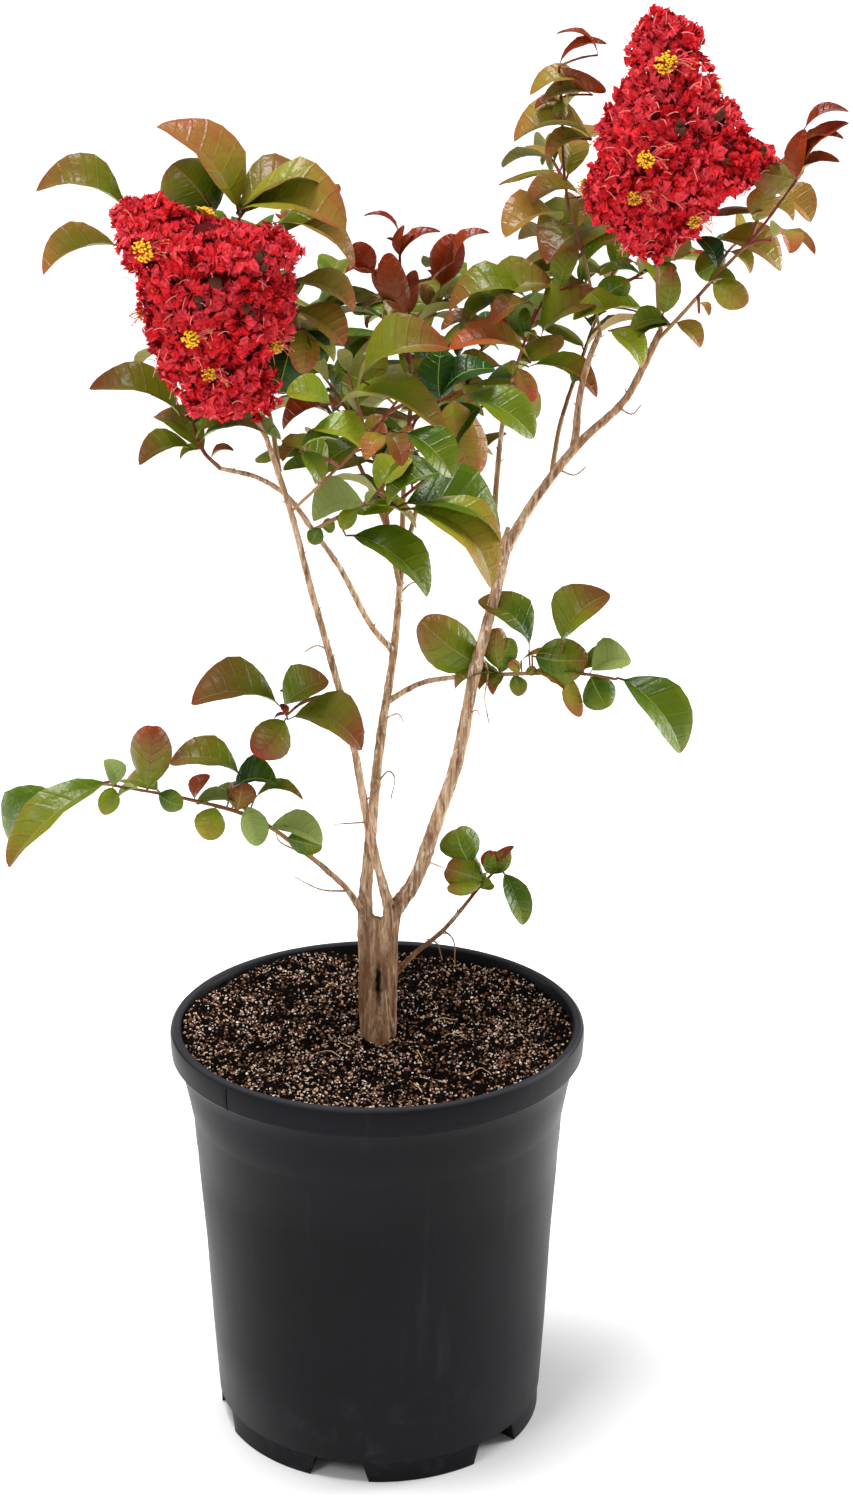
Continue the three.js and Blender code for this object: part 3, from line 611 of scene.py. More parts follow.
def wedge(name, turn, inner, outer, low, high, wide, narrow):
    """A bar that runs out from the axis at a turn, wide at its lower edge and narrow at its upper."""
    across = np.array([-wide, wide, narrow, -narrow]) / 2
    heights = np.array([low, low, high, high])
    points = np.concatenate([np.stack([np.full(4, reach), across, heights], axis=-1)
                             for reach in (inner, outer)])
    a = math.radians(turn)
    spun = points @ np.array([[math.cos(a), math.sin(a), 0], [-math.sin(a), math.cos(a), 0], [0, 0, 1]])
    batch = Batch()
    batch.add(spun, np.array([[0, 3, 2, 1], [4, 5, 6, 7], [0, 1, 5, 4], [1, 2, 6, 5], [2, 3, 7, 6],
                              [3, 0, 4, 7]]))
    return make_piece(name, batch, [])


def cut_notches(piece, grow):
    """Cuts the foot's drain notches, grown on their inner faces, out of a piece."""
    top = NOTCH["height"] + grow
    wide, narrow = NOTCH["wide"] + 2 * grow, NOTCH["narrow"] + 2 * grow
    flare = wide + (wide - narrow) * CUT_BEYOND / top
    for index in range(FOOT_NOTCHES):
        turn = NOTCH["first"] + 360 / FOOT_NOTCHES * index
        inner = NOTCH["inner"] - grow
        cut_away(piece, wedge("notch", turn, inner, RIM_RADIUS, -CUT_BEYOND, top, flare, narrow))
    return piece


def make_pot(material):
    pot = turned_piece("nursery_pot", [(0, 0), *POT_OUTSIDE, (0, POT_HEIGHT)], POT_SEGMENTS, [material])
    lip, over = POT_INSIDE[0][0], POT_HEIGHT + CUT_BEYOND
    hollow_line = [(0, POT_WALL), *POT_INSIDE[::-1], (lip + 0.6, over), (0, over)]
    hollow = turned_piece("pot_hollow", hollow_line, POT_SEGMENTS, [])
    cut_notches(hollow, POT_WALL)
    cut_away(pot, hollow)
    cut_notches(pot, 0)
    cut_away(pot, wedge("nick", **RIM_NICK))
    with_modifier(pot, "BEVEL", width=POT_EDGE * MM, segments=2, limit_method="ANGLE",
                  angle_limit=math.radians(50), harden_normals=False)
    pot.data.polygons.foreach_set("use_smooth", np.full(len(pot.data.polygons), True))
    pot.data.set_sharp_from_angle(angle=math.radians(32))
    return pot


# ---- Soil ------------------------------------------------------------------

SOIL_WALL = [(88.7, SOIL_FLOOR), (94.4, 110), (99.9, 189), (103.3, 206), (104.4, 214), (106.3, 225)]
# Small hollows in the soil: place and size
HOLLOWS = [(-52, -34, 7), (34, -62, 6), (-66, 12, 6), (24, 22, 8), (-38, 44, 7), (70, -28, 5), (8, -78, 5),
           (58, 38, 7), (-14, -52, 5), (84, 6, 5), (-78, -30, 5), (40, 62, 6)]
HOLLOW_DEPTH = 3.4
CLODS = ((1.0, 6, 0.5), (0.6, 2.6, 7.5))        # share, size, and layer of the noise that shapes them
CLOD_HEIGHT = 2.0


def soil_rise(x, y):
    """Height of the soil over its level."""
    away = smoothstep(np.hypot(x, y), LEVEL_WITHIN, LEVEL_WITHIN + 30)
    rolls = 1.6 * np.sin(x / 19 + 1) * np.cos(y / 23) + 1.0 * np.sin(x / 11 - y / 13)
    slope = 0.03 * np.maximum(0, x + y - 60)
    dip = TRUNK_DISH * np.exp(-(x**2 + (y + DISH_FORWARD)**2) / DISH_SIZE**2)
    return away * (rolls - slope) - dip


def soil_height(x, y):
    """The soil with its clods and small hollows."""
    height = SOIL_TOP + soil_rise(x, y)
    height -= sum(HOLLOW_DEPTH * np.exp(-((x - hx)**2 + (y - hy)**2) / size**2) for hx, hy, size in HOLLOWS)
    clods = np.array([sum(share * noise.noise((a / size, b / size, layer)) for share, size, layer in CLODS)
                      for a, b in zip(x.ravel(), y.ravel())]).reshape(x.shape)
    return height + CLOD_HEIGHT * clods * smoothstep(np.hypot(x, y), 9, 18)


def soil_surface():
    """Points of the top of the soil, ring by ring from the wall to the middle."""
    radius = np.linspace(SOIL_RADIUS, 1.0, SOIL_RINGS)[:, None]
    angle = turns_of(SOIL_SEGMENTS)
    x, y = radius * np.cos(angle), radius * np.sin(angle)
    return np.stack([x, y, soil_height(x, y)], axis=-1)


def make_soil_bed(material):
    """The soil as one body: its flat floor, its wall inside the pot and its uneven top."""
    wall = np.array([circle(radius, height, SOIL_SEGMENTS) for radius, height in SOIL_WALL])
    batch = Batch()
    batch.add(*closed_skin(np.concatenate([wall, soil_surface()]), (0, 0, SOIL_FLOOR), (0, 0, SOIL_TOP)))
    return make_piece("soil_bed", batch, [material])


def grain_tree():
    """Grains scattered over a surface: rough lumps of random size, turn and shape."""
    tree = bpy.data.node_groups.new("scattered_grains", "GeometryNodeTree")
    face = tree.interface
    face.new_socket("Surface", in_out="INPUT", socket_type="NodeSocketGeometry")
    for name, kind in (("Grains per square metre", "Float"), ("Smallest", "Float"), ("Largest", "Float"),
                       ("Patchiness", "Float"), ("Seed", "Int"), ("Finish", "Material")):
        face.new_socket(name, in_out="INPUT", socket_type="NodeSocket" + kind)
    face.new_socket("Grains", in_out="OUTPUT", socket_type="NodeSocketGeometry")

    def node(kind, inputs=None, **settings):
        return add_node(tree, kind, inputs or {}, settings).outputs

    given = node("NodeGroupInput")
    cloud = node("ShaderNodeTexNoise", {"Scale": 75.0, "Detail": 2.0})
    bare = node("ShaderNodeMapRange", {"Value": cloud["Fac"], "From Min": 0.56, "From Max": 0.42})
    thinned = node("ShaderNodeMath", {0: bare["Result"], 1: given["Patchiness"]}, operation="MULTIPLY")
    left = node("ShaderNodeMath", {0: 1.0, 1: thinned["Value"]}, operation="SUBTRACT")
    density = node("ShaderNodeMath", {0: left["Value"], 1: given["Grains per square metre"]},
                   operation="MULTIPLY")
    spots = node("GeometryNodeDistributePointsOnFaces",
                 {"Mesh": given["Surface"], "Density": density["Value"], "Seed": given["Seed"]})
    lump = node("GeometryNodeMeshIcoSphere", {"Radius": 1.0, "Subdivisions": 1})
    size = node("FunctionNodeRandomValue", {2: given["Smallest"], 3: given["Largest"], "Seed": 3},
                data_type="FLOAT")
    shape = node("FunctionNodeRandomValue", {0: (0.7, 0.7, 0.6), 1: (1.3, 1.2, 1.0), "Seed": 5},
                 data_type="FLOAT_VECTOR")
    scale = node("ShaderNodeVectorMath", {0: shape[0], "Scale": size[1]}, operation="SCALE")
    turn = node("FunctionNodeRandomValue", {0: (0, 0, 0), 1: (6.28, 6.28, 6.28), "Seed": 9},
                data_type="FLOAT_VECTOR")
    placed = node("GeometryNodeInstanceOnPoints",
                  {"Points": spots["Points"], "Instance": lump["Mesh"],
                   "Rotation": turn[0], "Scale": scale["Vector"]})
    real = node("GeometryNodeRealizeInstances", {"Geometry": placed["Instances"]})
    rough = node("ShaderNodeTexNoise", {"Scale": 900.0, "Detail": 1.0})
    centred = node("ShaderNodeVectorMath", {0: rough["Color"], 1: (0.5, 0.5, 0.5)}, operation="SUBTRACT")
    push = node("ShaderNodeVectorMath", {0: centred["Vector"], "Scale": GRAIN_ROUGHNESS * MM},
                operation="SCALE")
    moved = node("GeometryNodeSetPosition", {"Geometry": real["Geometry"], "Offset": push["Vector"]})
    coloured = node("GeometryNodeSetMaterial", {"Geometry": moved["Geometry"], "Material": given["Finish"]})
    add_node(tree, "NodeGroupOutput", {"Grains": coloured["Geometry"]}, {})
    return tree


def scatter(name, surface, tree, material, density, smallest, largest, patchy, seed):
    """One colour of grains over the soil as a plain mesh."""
    host = link(name, surface.data.copy())
    modifier = host.modifiers.new("grains", "NODES")
    modifier.node_group = tree
    values = {"Grains per square metre": density, "Smallest": smallest * MM, "Largest": largest * MM,
              "Patchiness": patchy, "Seed": seed, "Finish": material}
    for item in tree.interface.items_tree:
        if item.in_out == "INPUT" and item.name in values:
            modifier[item.identifier] = values[item.name]
    grains = bpy.data.meshes.new_from_object(host.evaluated_get(bpy.context.evaluated_depsgraph_get()))
    host.modifiers.clear()
    host.data = grains
    grains.name = name
    return host


# Each colour of grain: name, colour, roughness, number to a square metre, smallest and largest
# radius, how far it keeps to patches, and seed
GRAINS = [
    ("dark_grains", "0C0503", 0.95, 130000, 0.65, 1.5, 0.0, 2),
    ("brown_grains", "6C4A38", 0.9, 105000, 0.55, 1.2, 0.35, 4),
    ("tan_grains", "CCA88E", 0.85, 125000, 0.45, 1.0, 0.8, 6),
    ("pale_grains", "F4E4DA", 0.8, 72000, 0.4, 0.85, 0.85, 8),
]
GRAIN_ROUGHNESS = 1.2       # how far a grain's corners are pushed about, at most half of it each way
# Straws: how far out they start and where they have to stay, measured from the trunk
STRAW = {"count": 9, "reach": 98, "steps": 8, "radii": (0.32, 0.18), "outer": 103, "inner": 16}


def make_grains():
    ground = Batch()
    ground.add(soil_surface().reshape(-1, 3), grid_faces(SOIL_RINGS, SOIL_SEGMENTS, closed=True)[:, ::-1])
    surface = make_piece("grain_ground", ground, [])
    tree = grain_tree()
    pieces = []
    for name, colour, roughness, *settings in GRAINS:
        material = grainy_finish(name.replace("grains", "grain"), colour, roughness, 0.0002, 1500, 2,
                                 shine=0.1)
        pieces.append(scatter(name, surface, tree, material, *settings))
    bpy.data.objects.remove(surface)
    return pieces


def make_straws():
    """Bits of straw and root fibre that lie on the soil."""
    dice = np.random.RandomState(51)
    batch = Batch()
    steps = STRAW["steps"]
    for _ in range(STRAW["count"]):
        angle, out = dice.uniform(0, 2 * math.pi), STRAW["reach"] * math.sqrt(dice.uniform(0.06, 0.95))
        line = [np.array([out * math.cos(angle), out * math.sin(angle)])]
        heading, bend, length = dice.uniform(0, 6.3), dice.uniform(-0.12, 0.12), dice.uniform(7, 20)
        for _ in range(steps):
            heading += bend * length / steps + dice.uniform(-0.15, 0.15)
            line.append(line[-1] + length / steps * np.array([math.cos(heading), math.sin(heading)]))
        x, y = np.array(line).T
        if np.hypot(x, y).max() > STRAW["outer"] or np.hypot(x, y).min() < STRAW["inner"]:
            continue
        lift = 1.0 + 1.4 * np.sin(np.linspace(0, math.pi, steps + 1))
        spots = np.stack([x, y, soil_height(x, y) + lift], axis=-1)
        batch.add(*tube(Run(spots), *STRAW["radii"], 5, step=1.6))
    return make_piece("straws", batch, [grainy_finish("dry_straw", "C9AA78", 0.8, 0.0001, 2500, 2)])


# ---- Trunk and boughs ------------------------------------------------------

TRUNK_FOOT = SOIL_TOP - 9
# The columns that are grown together in the trunk, with the collar that the front limb leaves from
# and a root at the front: radii at both ends, and points
TRUNK_COLUMNS = [
    ((6.6, 4.2), [(-3, -3, TRUNK_FOOT), (-4.4, -0.5, 255), (-5.8, 2, 285), (-6.8, 2, 306)]),
    ((7.0, 4.6), [(3.4, -4, TRUNK_FOOT), (4.8, -2, 250), (6.2, -1, 278), (9, 0, 303)]),
    ((5.5, 2.6), [(4.5, -2, 262), (5.2, -5, 284), (6.4, -6.5, 300), (6.2, -7.5, 310)]),
    ((6.8, 3.5), [(-0.2, -9, TRUNK_FOOT), (-0.4, -4, 252), (0.2, -2.5, 278), (0.9, -1.5, 300)]),
    ((3.4, 5.6), [(1.6, -19, TRUNK_FOOT), (1.2, -14.5, 233), (0.8, -9, 245), (0.4, -5, 258)]),
]
ROOTED_IN_TRUNK = ("left_stem", "middle_stem", "right_stem", "low_left_branch")
ROOT_LENGTH = 14            # how much of a bough is part of the trunk's skin
TRUNK_SCAR = {"place": (0.8, -10.0, 264.0), "size": (1.9, 5.0, 6.0), "deep": 3.4}

# Each bough: its radii at both ends and where it runs
BOUGHS = {
    "left_stem": ((2.5, 1.3), [(6.2, -7.5, 310), (-3, -14, 353), (-12, -16, 407), (-22, -24, 452),
                               (-32, -32, 494), (-42, -38, 538), (-53, -43, 576)]),
    "middle_stem": ((3.4, 1.6), [(-6.8, 2, 306), (-2.5, 10, 352), (2.6, 16, 399), (9.7, 24, 445),
                                 (13, 32, 480), (14, 36, 496)]),
    "right_stem": ((4.1, 2.7), [(9, 0, 303), (20, 0, 319), (34, 0, 359), (44, 0, 391), (53, 0, 440),
                                (65, 0, 489), (69, 0, 508)]),
    "right_upper_stem": ((2.7, 1.7), [(69, 0, 508), (84, 0, 534), (106, 0, 563.5), (129, 0, 586),
                                      (139, 0, 605), (147, 0, 622)]),
    "dead_stub": ((1.8, 1.2), [(68, -1, 500), (67.5, -3, 511), (70, -4, 520)]),
    "low_left_branch": ((1.9, 1.4), [(-5.5, 0, 298), (-16, -6, 318), (-27, -10, 331), (-34, -14, 339)]),
    "right_low_branch": ((1.6, 1.1), [(5, 3, 258), (19, 9, 272), (36, 12, 286), (47.5, 12, 300)]),
    "mid_left_branch": ((1.7, 1.1), [(9.6, 24, 444), (-3, 16, 462), (-18, 6, 495), (-32, -2, 518),
                                     (-45, -2, 536), (-60, -10, 548), (-78, -24, 556)]),
    "right_mid_branch": ((1.6, 1.2), [(6, 20, 417), (23, 17, 428), (38, 15, 432), (60, 11, 435)]),
    "right_side_stem": ((2, 1.4), [(104, 2, 561), (107, 10, 588), (112, 13, 607), (117, 14, 619)]),
    "thin_back_stem": ((1.7, 1.2), [(67.5, 1, 494), (63.5, 13, 512), (65, 21, 548), (68, 26, 576)]),
}
SHOOT_STEP = 27             # distance between the old leaf scars on a bough

BARE_TWIG_RADII = (0.6, 0.25)
BARE_TWIGS = [
    [(-34, -14, 341), (-46, -18, 347), (-52, -18, 351), (-54, -20, 362)],
    [(-16, -6, 317), (-30, -16, 322), (-44, -20, 331)],
    [(55, 0, 452), (60, 3, 440), (58.5, 4, 424), (61, 2, 410)],
    [(24, 0, 331), (30, -5, 333), (37, -8, 331)],
    [(28, 12, 281), (33, 14, 278), (36, 13, 268)],
    [(36, 12, 287), (42, 10, 282), (43, 8, 268)],
    [(4, 17, 408), (12, 14, 412), (15, 12, 408)],
    [(-17, -20, 431), (-9, -24, 424), (-5, -26, 414)],
    [(0, 13, 372), (7, 9, 381), (10, 8, 378), (8, 6, 366)],
    [(-6, -15, 372), (2, -18, 380)],
    [(-4, -14, 360), (-22, -20, 361)],
    [(-24, -25, 460), (-30, -32, 464), (-36, -33, 461)],
    [(48, 0, 414), (54, -4, 420), (56, -5, 417)],
    [(96, 0, 550), (104, -4, 548), (110, -6, 553)],
    [(126, 0, 583), (133, -4, 580), (138, -4, 585)],
    [(12, 30, 474), (20, 34, 480), (26, 36, 478)],
]


def bark_relief(seed):
    """Long ridges, small cracks and peeling flakes, and a swelling at each old leaf scar."""
    def relief(turn, distance, radius):
        x, y = math.cos(turn), math.sin(turn)
        ridges = noise.noise((x * 1.5 + seed, y * 1.5, distance / 17))
        cracks = noise.noise((x * 3.2, y * 3.2 + seed, distance / 6))
        flake = noise.noise((x * 2.1, y * 2.1 - seed, distance / 4.5))
        scar = math.exp(-((distance % SHOOT_STEP - SHOOT_STEP / 2) / 1.5)**2)
        peel = 0.12 * float(smoothstep(flake, 0.22, 0.34))
        return radius * (0.14 * ridges + 0.09 * cracks) + peel + 0.1 * radius * scar
    return relief


def root_collar(relief):
    """The relief with a bough's root swollen where it leaves its carrier."""
    def swollen(turn, distance, radius):
        return relief(turn, distance, radius) + 0.35 * radius * math.exp(-distance / 3.5)
    return swollen


def add_bough(batch, radii, points, seed):
    sides = 14 if radii[0] > 2 else 10
    relief = root_collar(bark_relief(seed))
    batch.add(*tube(smooth_run(points), *radii, sides, step=1.0, relief=relief))


def add_spurs(batch, dice, radii, points):
    """Short dead spurs up a bough, each to a side of its own."""
    run = smooth_run(points)
    for scar in np.arange(SHOOT_STEP / 2, run.length, SHOOT_STEP / 3):
        share = (scar + dice.uniform(-2, 2)) / run.length
        if not 0.03 < share < 0.97:
            continue
        way = run.way(share)
        out = unit(np.cross(way, dice.normal(size=3)))
        radius = radii[0] + (radii[1] - radii[0]) * share
        start = run.at(share) + out * radius * 0.6
        length = dice.uniform(1.2, 3.2)
        end = start + (out * 0.8 + way * 0.7) * length
        batch.add(*tube(bowed_run(start, end, 0.4, 5), dice.uniform(0.35, 0.7), 0.12, 5, step=0.8))


def make_trunk_body():
    """The trunk as one skin over its grown-together stems, before its relief."""
    batch = Batch()
    for radii, points in TRUNK_COLUMNS:
        batch.add(*tube(smooth_run(points), *radii, 24, step=2))
    for name in ROOTED_IN_TRUNK:
        radii, points = BOUGHS[name]
        bough = smooth_run(points)
        root = bough.stretch(0, ROOT_LENGTH / bough.length)
        batch.add(*tube(root, radii[0] * 1.25, radii[0], 16, step=2))
    body = make_piece("trunk_body", batch, [])
    with_modifier(body, "REMESH", mode="VOXEL", voxel_size=0.62 * MM)
    return with_modifier(body, "SMOOTH", factor=0.5, iterations=9)


def trunk_relief(points):
    """How far each point of the trunk moves out along its normal."""
    moves = []
    for x, y, z in points:
        ridges = noise.noise((x / 3.4, y / 3.4, z / 26))
        cracks = noise.noise((x / 1.5, y / 1.5, z / 11))
        flake = noise.noise((x / 3 + 9, y / 3, z / 7))
        moves.append(0.9 * ridges + 0.45 * cracks + 0.35 * float(smoothstep(flake, 0.2, 0.3)) - 0.2)
    spot, size = np.array(TRUNK_SCAR["place"]), np.array(TRUNK_SCAR["size"])
    scar = np.exp(-(((points - spot) / size)**2).sum(axis=1) * 1.6)
    return np.array(moves) - TRUNK_SCAR["deep"] * scar


def add_trunk(batch):
    body = make_trunk_body()
    count = len(body.data.vertices)
    points, normals = np.zeros(count * 3), np.zeros(count * 3)
    body.data.vertices.foreach_get("co", points)
    body.data.vertices.foreach_get("normal", normals)
    points, normals = points.reshape(-1, 3) / MM, normals.reshape(-1, 3)
    points += normals * trunk_relief(points)[:, None]
    points[:, 2] = np.maximum(points[:, 2], SOIL_TOP - TRUNK_DISH - 1.5)
    faces = np.array([list(p.vertices) for p in body.data.polygons])
    batch.add(points, faces)
    bpy.data.objects.remove(body)


def make_bark(material):
    batch = Batch()
    add_trunk(batch)
    dice = np.random.RandomState(61)
    for seed, (radii, points) in enumerate(BOUGHS.values()):
        add_bough(batch, radii, points, seed * 3.7)
        add_spurs(batch, dice, radii, points)
    for seed, points in enumerate(BARE_TWIGS):
        batch.add(*tube(smooth_run(points), *BARE_TWIG_RADII, 6, step=1.2, relief=bark_relief(40 + seed)))
    return make_piece("trunk_and_boughs", batch, [material], sharp_deg=75)


# ---- Leaves ----------------------------------------------------------------

PLAIN, PALER, SILVERY = 0, 1, 2     # silvery is the look of an underside
# A tint: place on the season scale at the leaf's base and at its tip, how much further its margin
# is along the scale, and which shades it takes
TINTS = {
    "deep": (0.0, 0.14, 0.04, PLAIN),
    "green": (0.2, 0.42, 0.08, PLAIN),
    "fresh": (0.34, 0.5, 0.06, PALER),
    "silver": (0.2, 0.28, 0.02, SILVERY),
    "olive": (0.3, 0.64, 0.1, PLAIN),
    "turning": (0.08, 0.56, 0.18, PLAIN),
    "bronze": (0.36, 0.69, 0.07, PLAIN),
    # glow: a pale bronze, painted light for leaves that show brightly lit
    "glow": (0.44, 0.66, 0.1, PALER),
    "tan": (0.53, 0.63, 0.06, PALER),
    "umber": (0.54, 0.72, 0.05, PLAIN),
    "copper": (0.34, 0.84, 0.1, PLAIN),
    "rust": (0.74, 0.88, 0.05, PLAIN),
    "pink": (0.56, 0.8, 0.06, PALER),
    "amber": (0.46, 0.66, 0.14, PALER),
    "red": (0.86, 0.97, 0.03, PLAIN),
}

# A mass of leaves: its stem with its radius at the root, how many pairs of leaves of which size grow
# on it, their tints, and its twigs as (place on the stem, end, pairs, size)
Mass = namedtuple("Mass", "name seed radius pairs size tints stem twigs", defaults=[()])
MASSES = [
    Mass("low_left_leaves", 11, 1.4, 3, 30, "green olive fresh",
         [(-34, -14, 339), (-63, -26, 366), (-95, -38, 381), (-136, -48, 393)]),
    Mass("mid_left_leaves", 12, 1.2, 0, 30, "olive green",
         [(-17, -20, 431), (-27, -24, 434), (-38, -29, 432), (-46, -32, 426)]),
    Mass("right_mid_leaves", 13, 1.2, 2, 34, "green deep olive",
         [(60, 11, 435), (85, 4, 438), (112, -4, 440), (128, -10, 439)]),
    Mass("right_low_leaves", 14, 1.1, 0, 24, "green",
         [(47.5, 12, 300), (56, 9, 313), (63, 6, 322)]),
    Mass("far_left_leaves", 15, 1.1, 2, 38, "bronze olive",
         [(-78, -24, 556), (-86, -29, 566), (-91, -32, 582)]),
    Mass("left_top_leaves", 16, 1.4, 3, 44, "olive bronze green",
         [(-47, -40, 558), (-52, -24, 582), (-62, -12, 620), (-70, -8, 655), (-80, -12, 684)],
         [(0.93, (-116, -24, 686), 0, 40), (0.88, (-60, -10, 688), 1, 44), (0.5, (-34, -16, 626), 1, 40),
          (0.5, (-82, 45, 640), 2, 48), (0.75, (-45, 48, 668), 2, 46), (0.3, (-98, 12, 604), 2, 42)]),
    Mass("mid_centre_leaves", 17, 1.2, 3, 38, "green fresh",
         [(-32, -2, 518), (-18, -8, 527), (-2, -14, 537), (8, -14, 549)]),
    Mass("left_centre_leaves", 18, 1.4, 4, 40, "turning olive bronze",
         [(13, 31.5, 477), (8, 26, 505), (3, 20, 540), (-6, 14, 572), (-14, 10, 600)],
         [(0.6, (-30, 60, 590), 3, 44), (0.35, (44, 52, 545), 3, 42)]),
    Mass("centre_top_leaves", 19, 1.6, 4, 38, "olive bronze umber turning",
         [(14, 36, 496), (15, 44, 530), (19, 53, 585), (14, 58, 630), (13, 60, 662)],
         [(0.8, (-5, 55, 646), 0, 30), (0.84, (30, 56, 640), 0, 30), (0.55, (60, 40, 622), 2, 40),
          (0.42, (50, 40, 585), 3, 42), (0.35, (25, 108, 560), 3, 48), (0.6, (2, 108, 612), 3, 48),
          (0.72, (48, 98, 626), 3, 44), (0.25, (-34, 58, 548), 3, 42)]),
    Mass("back_stem_leaves", 20, 0.9, 2, 36, "bronze olive",
         [(68, 26, 576), (74, 27, 598), (80, 22, 618), (84, 22, 630)],
         [(0.7, (96, 56, 640), 2, 38)]),
    Mass("right_left_leaves", 21, 0.9, 3, 32, "tan glow bronze",
         [(117, 14, 619), (110, 28, 650), (99, 32, 690), (96, 28, 730), (94, 22, 752)],
         [(0.3, (112, 76, 655), 2, 44), (0.55, (92, 72, 702), 2, 40)]),
    Mass("right_end_leaves", 22, 1.05, 2, 30, "tan glow copper",
         [(146, 0, 618), (158, -10, 634), (174, -16, 654), (192, -17, 674), (212, -8, 699)],
         [(0.4, (188, 42, 660), 2, 42), (0.65, (206, 36, 690), 2, 36), (0.3, (160, -62, 642), 2, 40),
          (0.6, (194, -56, 676), 2, 34)]),
    Mass("back_left_leaves", 23, 1.5, 3, 48, "green olive bronze",
         [(13.4, 34, 485), (5, 55, 507), (-15, 80, 545), (-40, 95, 585), (-60, 104, 622)],
         [(0.6, (-76, 88, 600), 2, 46), (0.75, (-30, 132, 620), 2, 46), (0.9, (-96, 78, 644), 2, 42)]),
    Mass("back_centre_leaves", 24, 1.5, 2, 46, "green deep olive",
         [(14, 35, 490), (24, 70, 520), (36, 100, 555), (46, 120, 590)],
         [(0.6, (74, 98, 572), 2, 46), (0.8, (15, 142, 592), 2, 46), (0.9, (80, 128, 604), 2, 42)]),
    Mass("back_right_leaves", 25, 1.4, 1, 42, "olive bronze copper",
         [(92, 0, 545), (98, 30, 568), (114, 65, 606), (130, 95, 642)],
         [(0.8, (98, 110, 640), 2, 44), (0.95, (152, 104, 660), 2, 44), (0.85, (168, 70, 652), 2, 40)]),
    Mass("front_centre_leaves", 26, 0.8, 1, 32, "bronze olive",
         [(-41, -37.5, 537), (-26, -62, 556), (0, -82, 586), (22, -92, 616)],
         [(0.6, (8, -110, 592), 1, 30), (0.8, (46, -80, 612), 1, 30), (0.45, (-34, -92, 580), 1, 30)]),
]

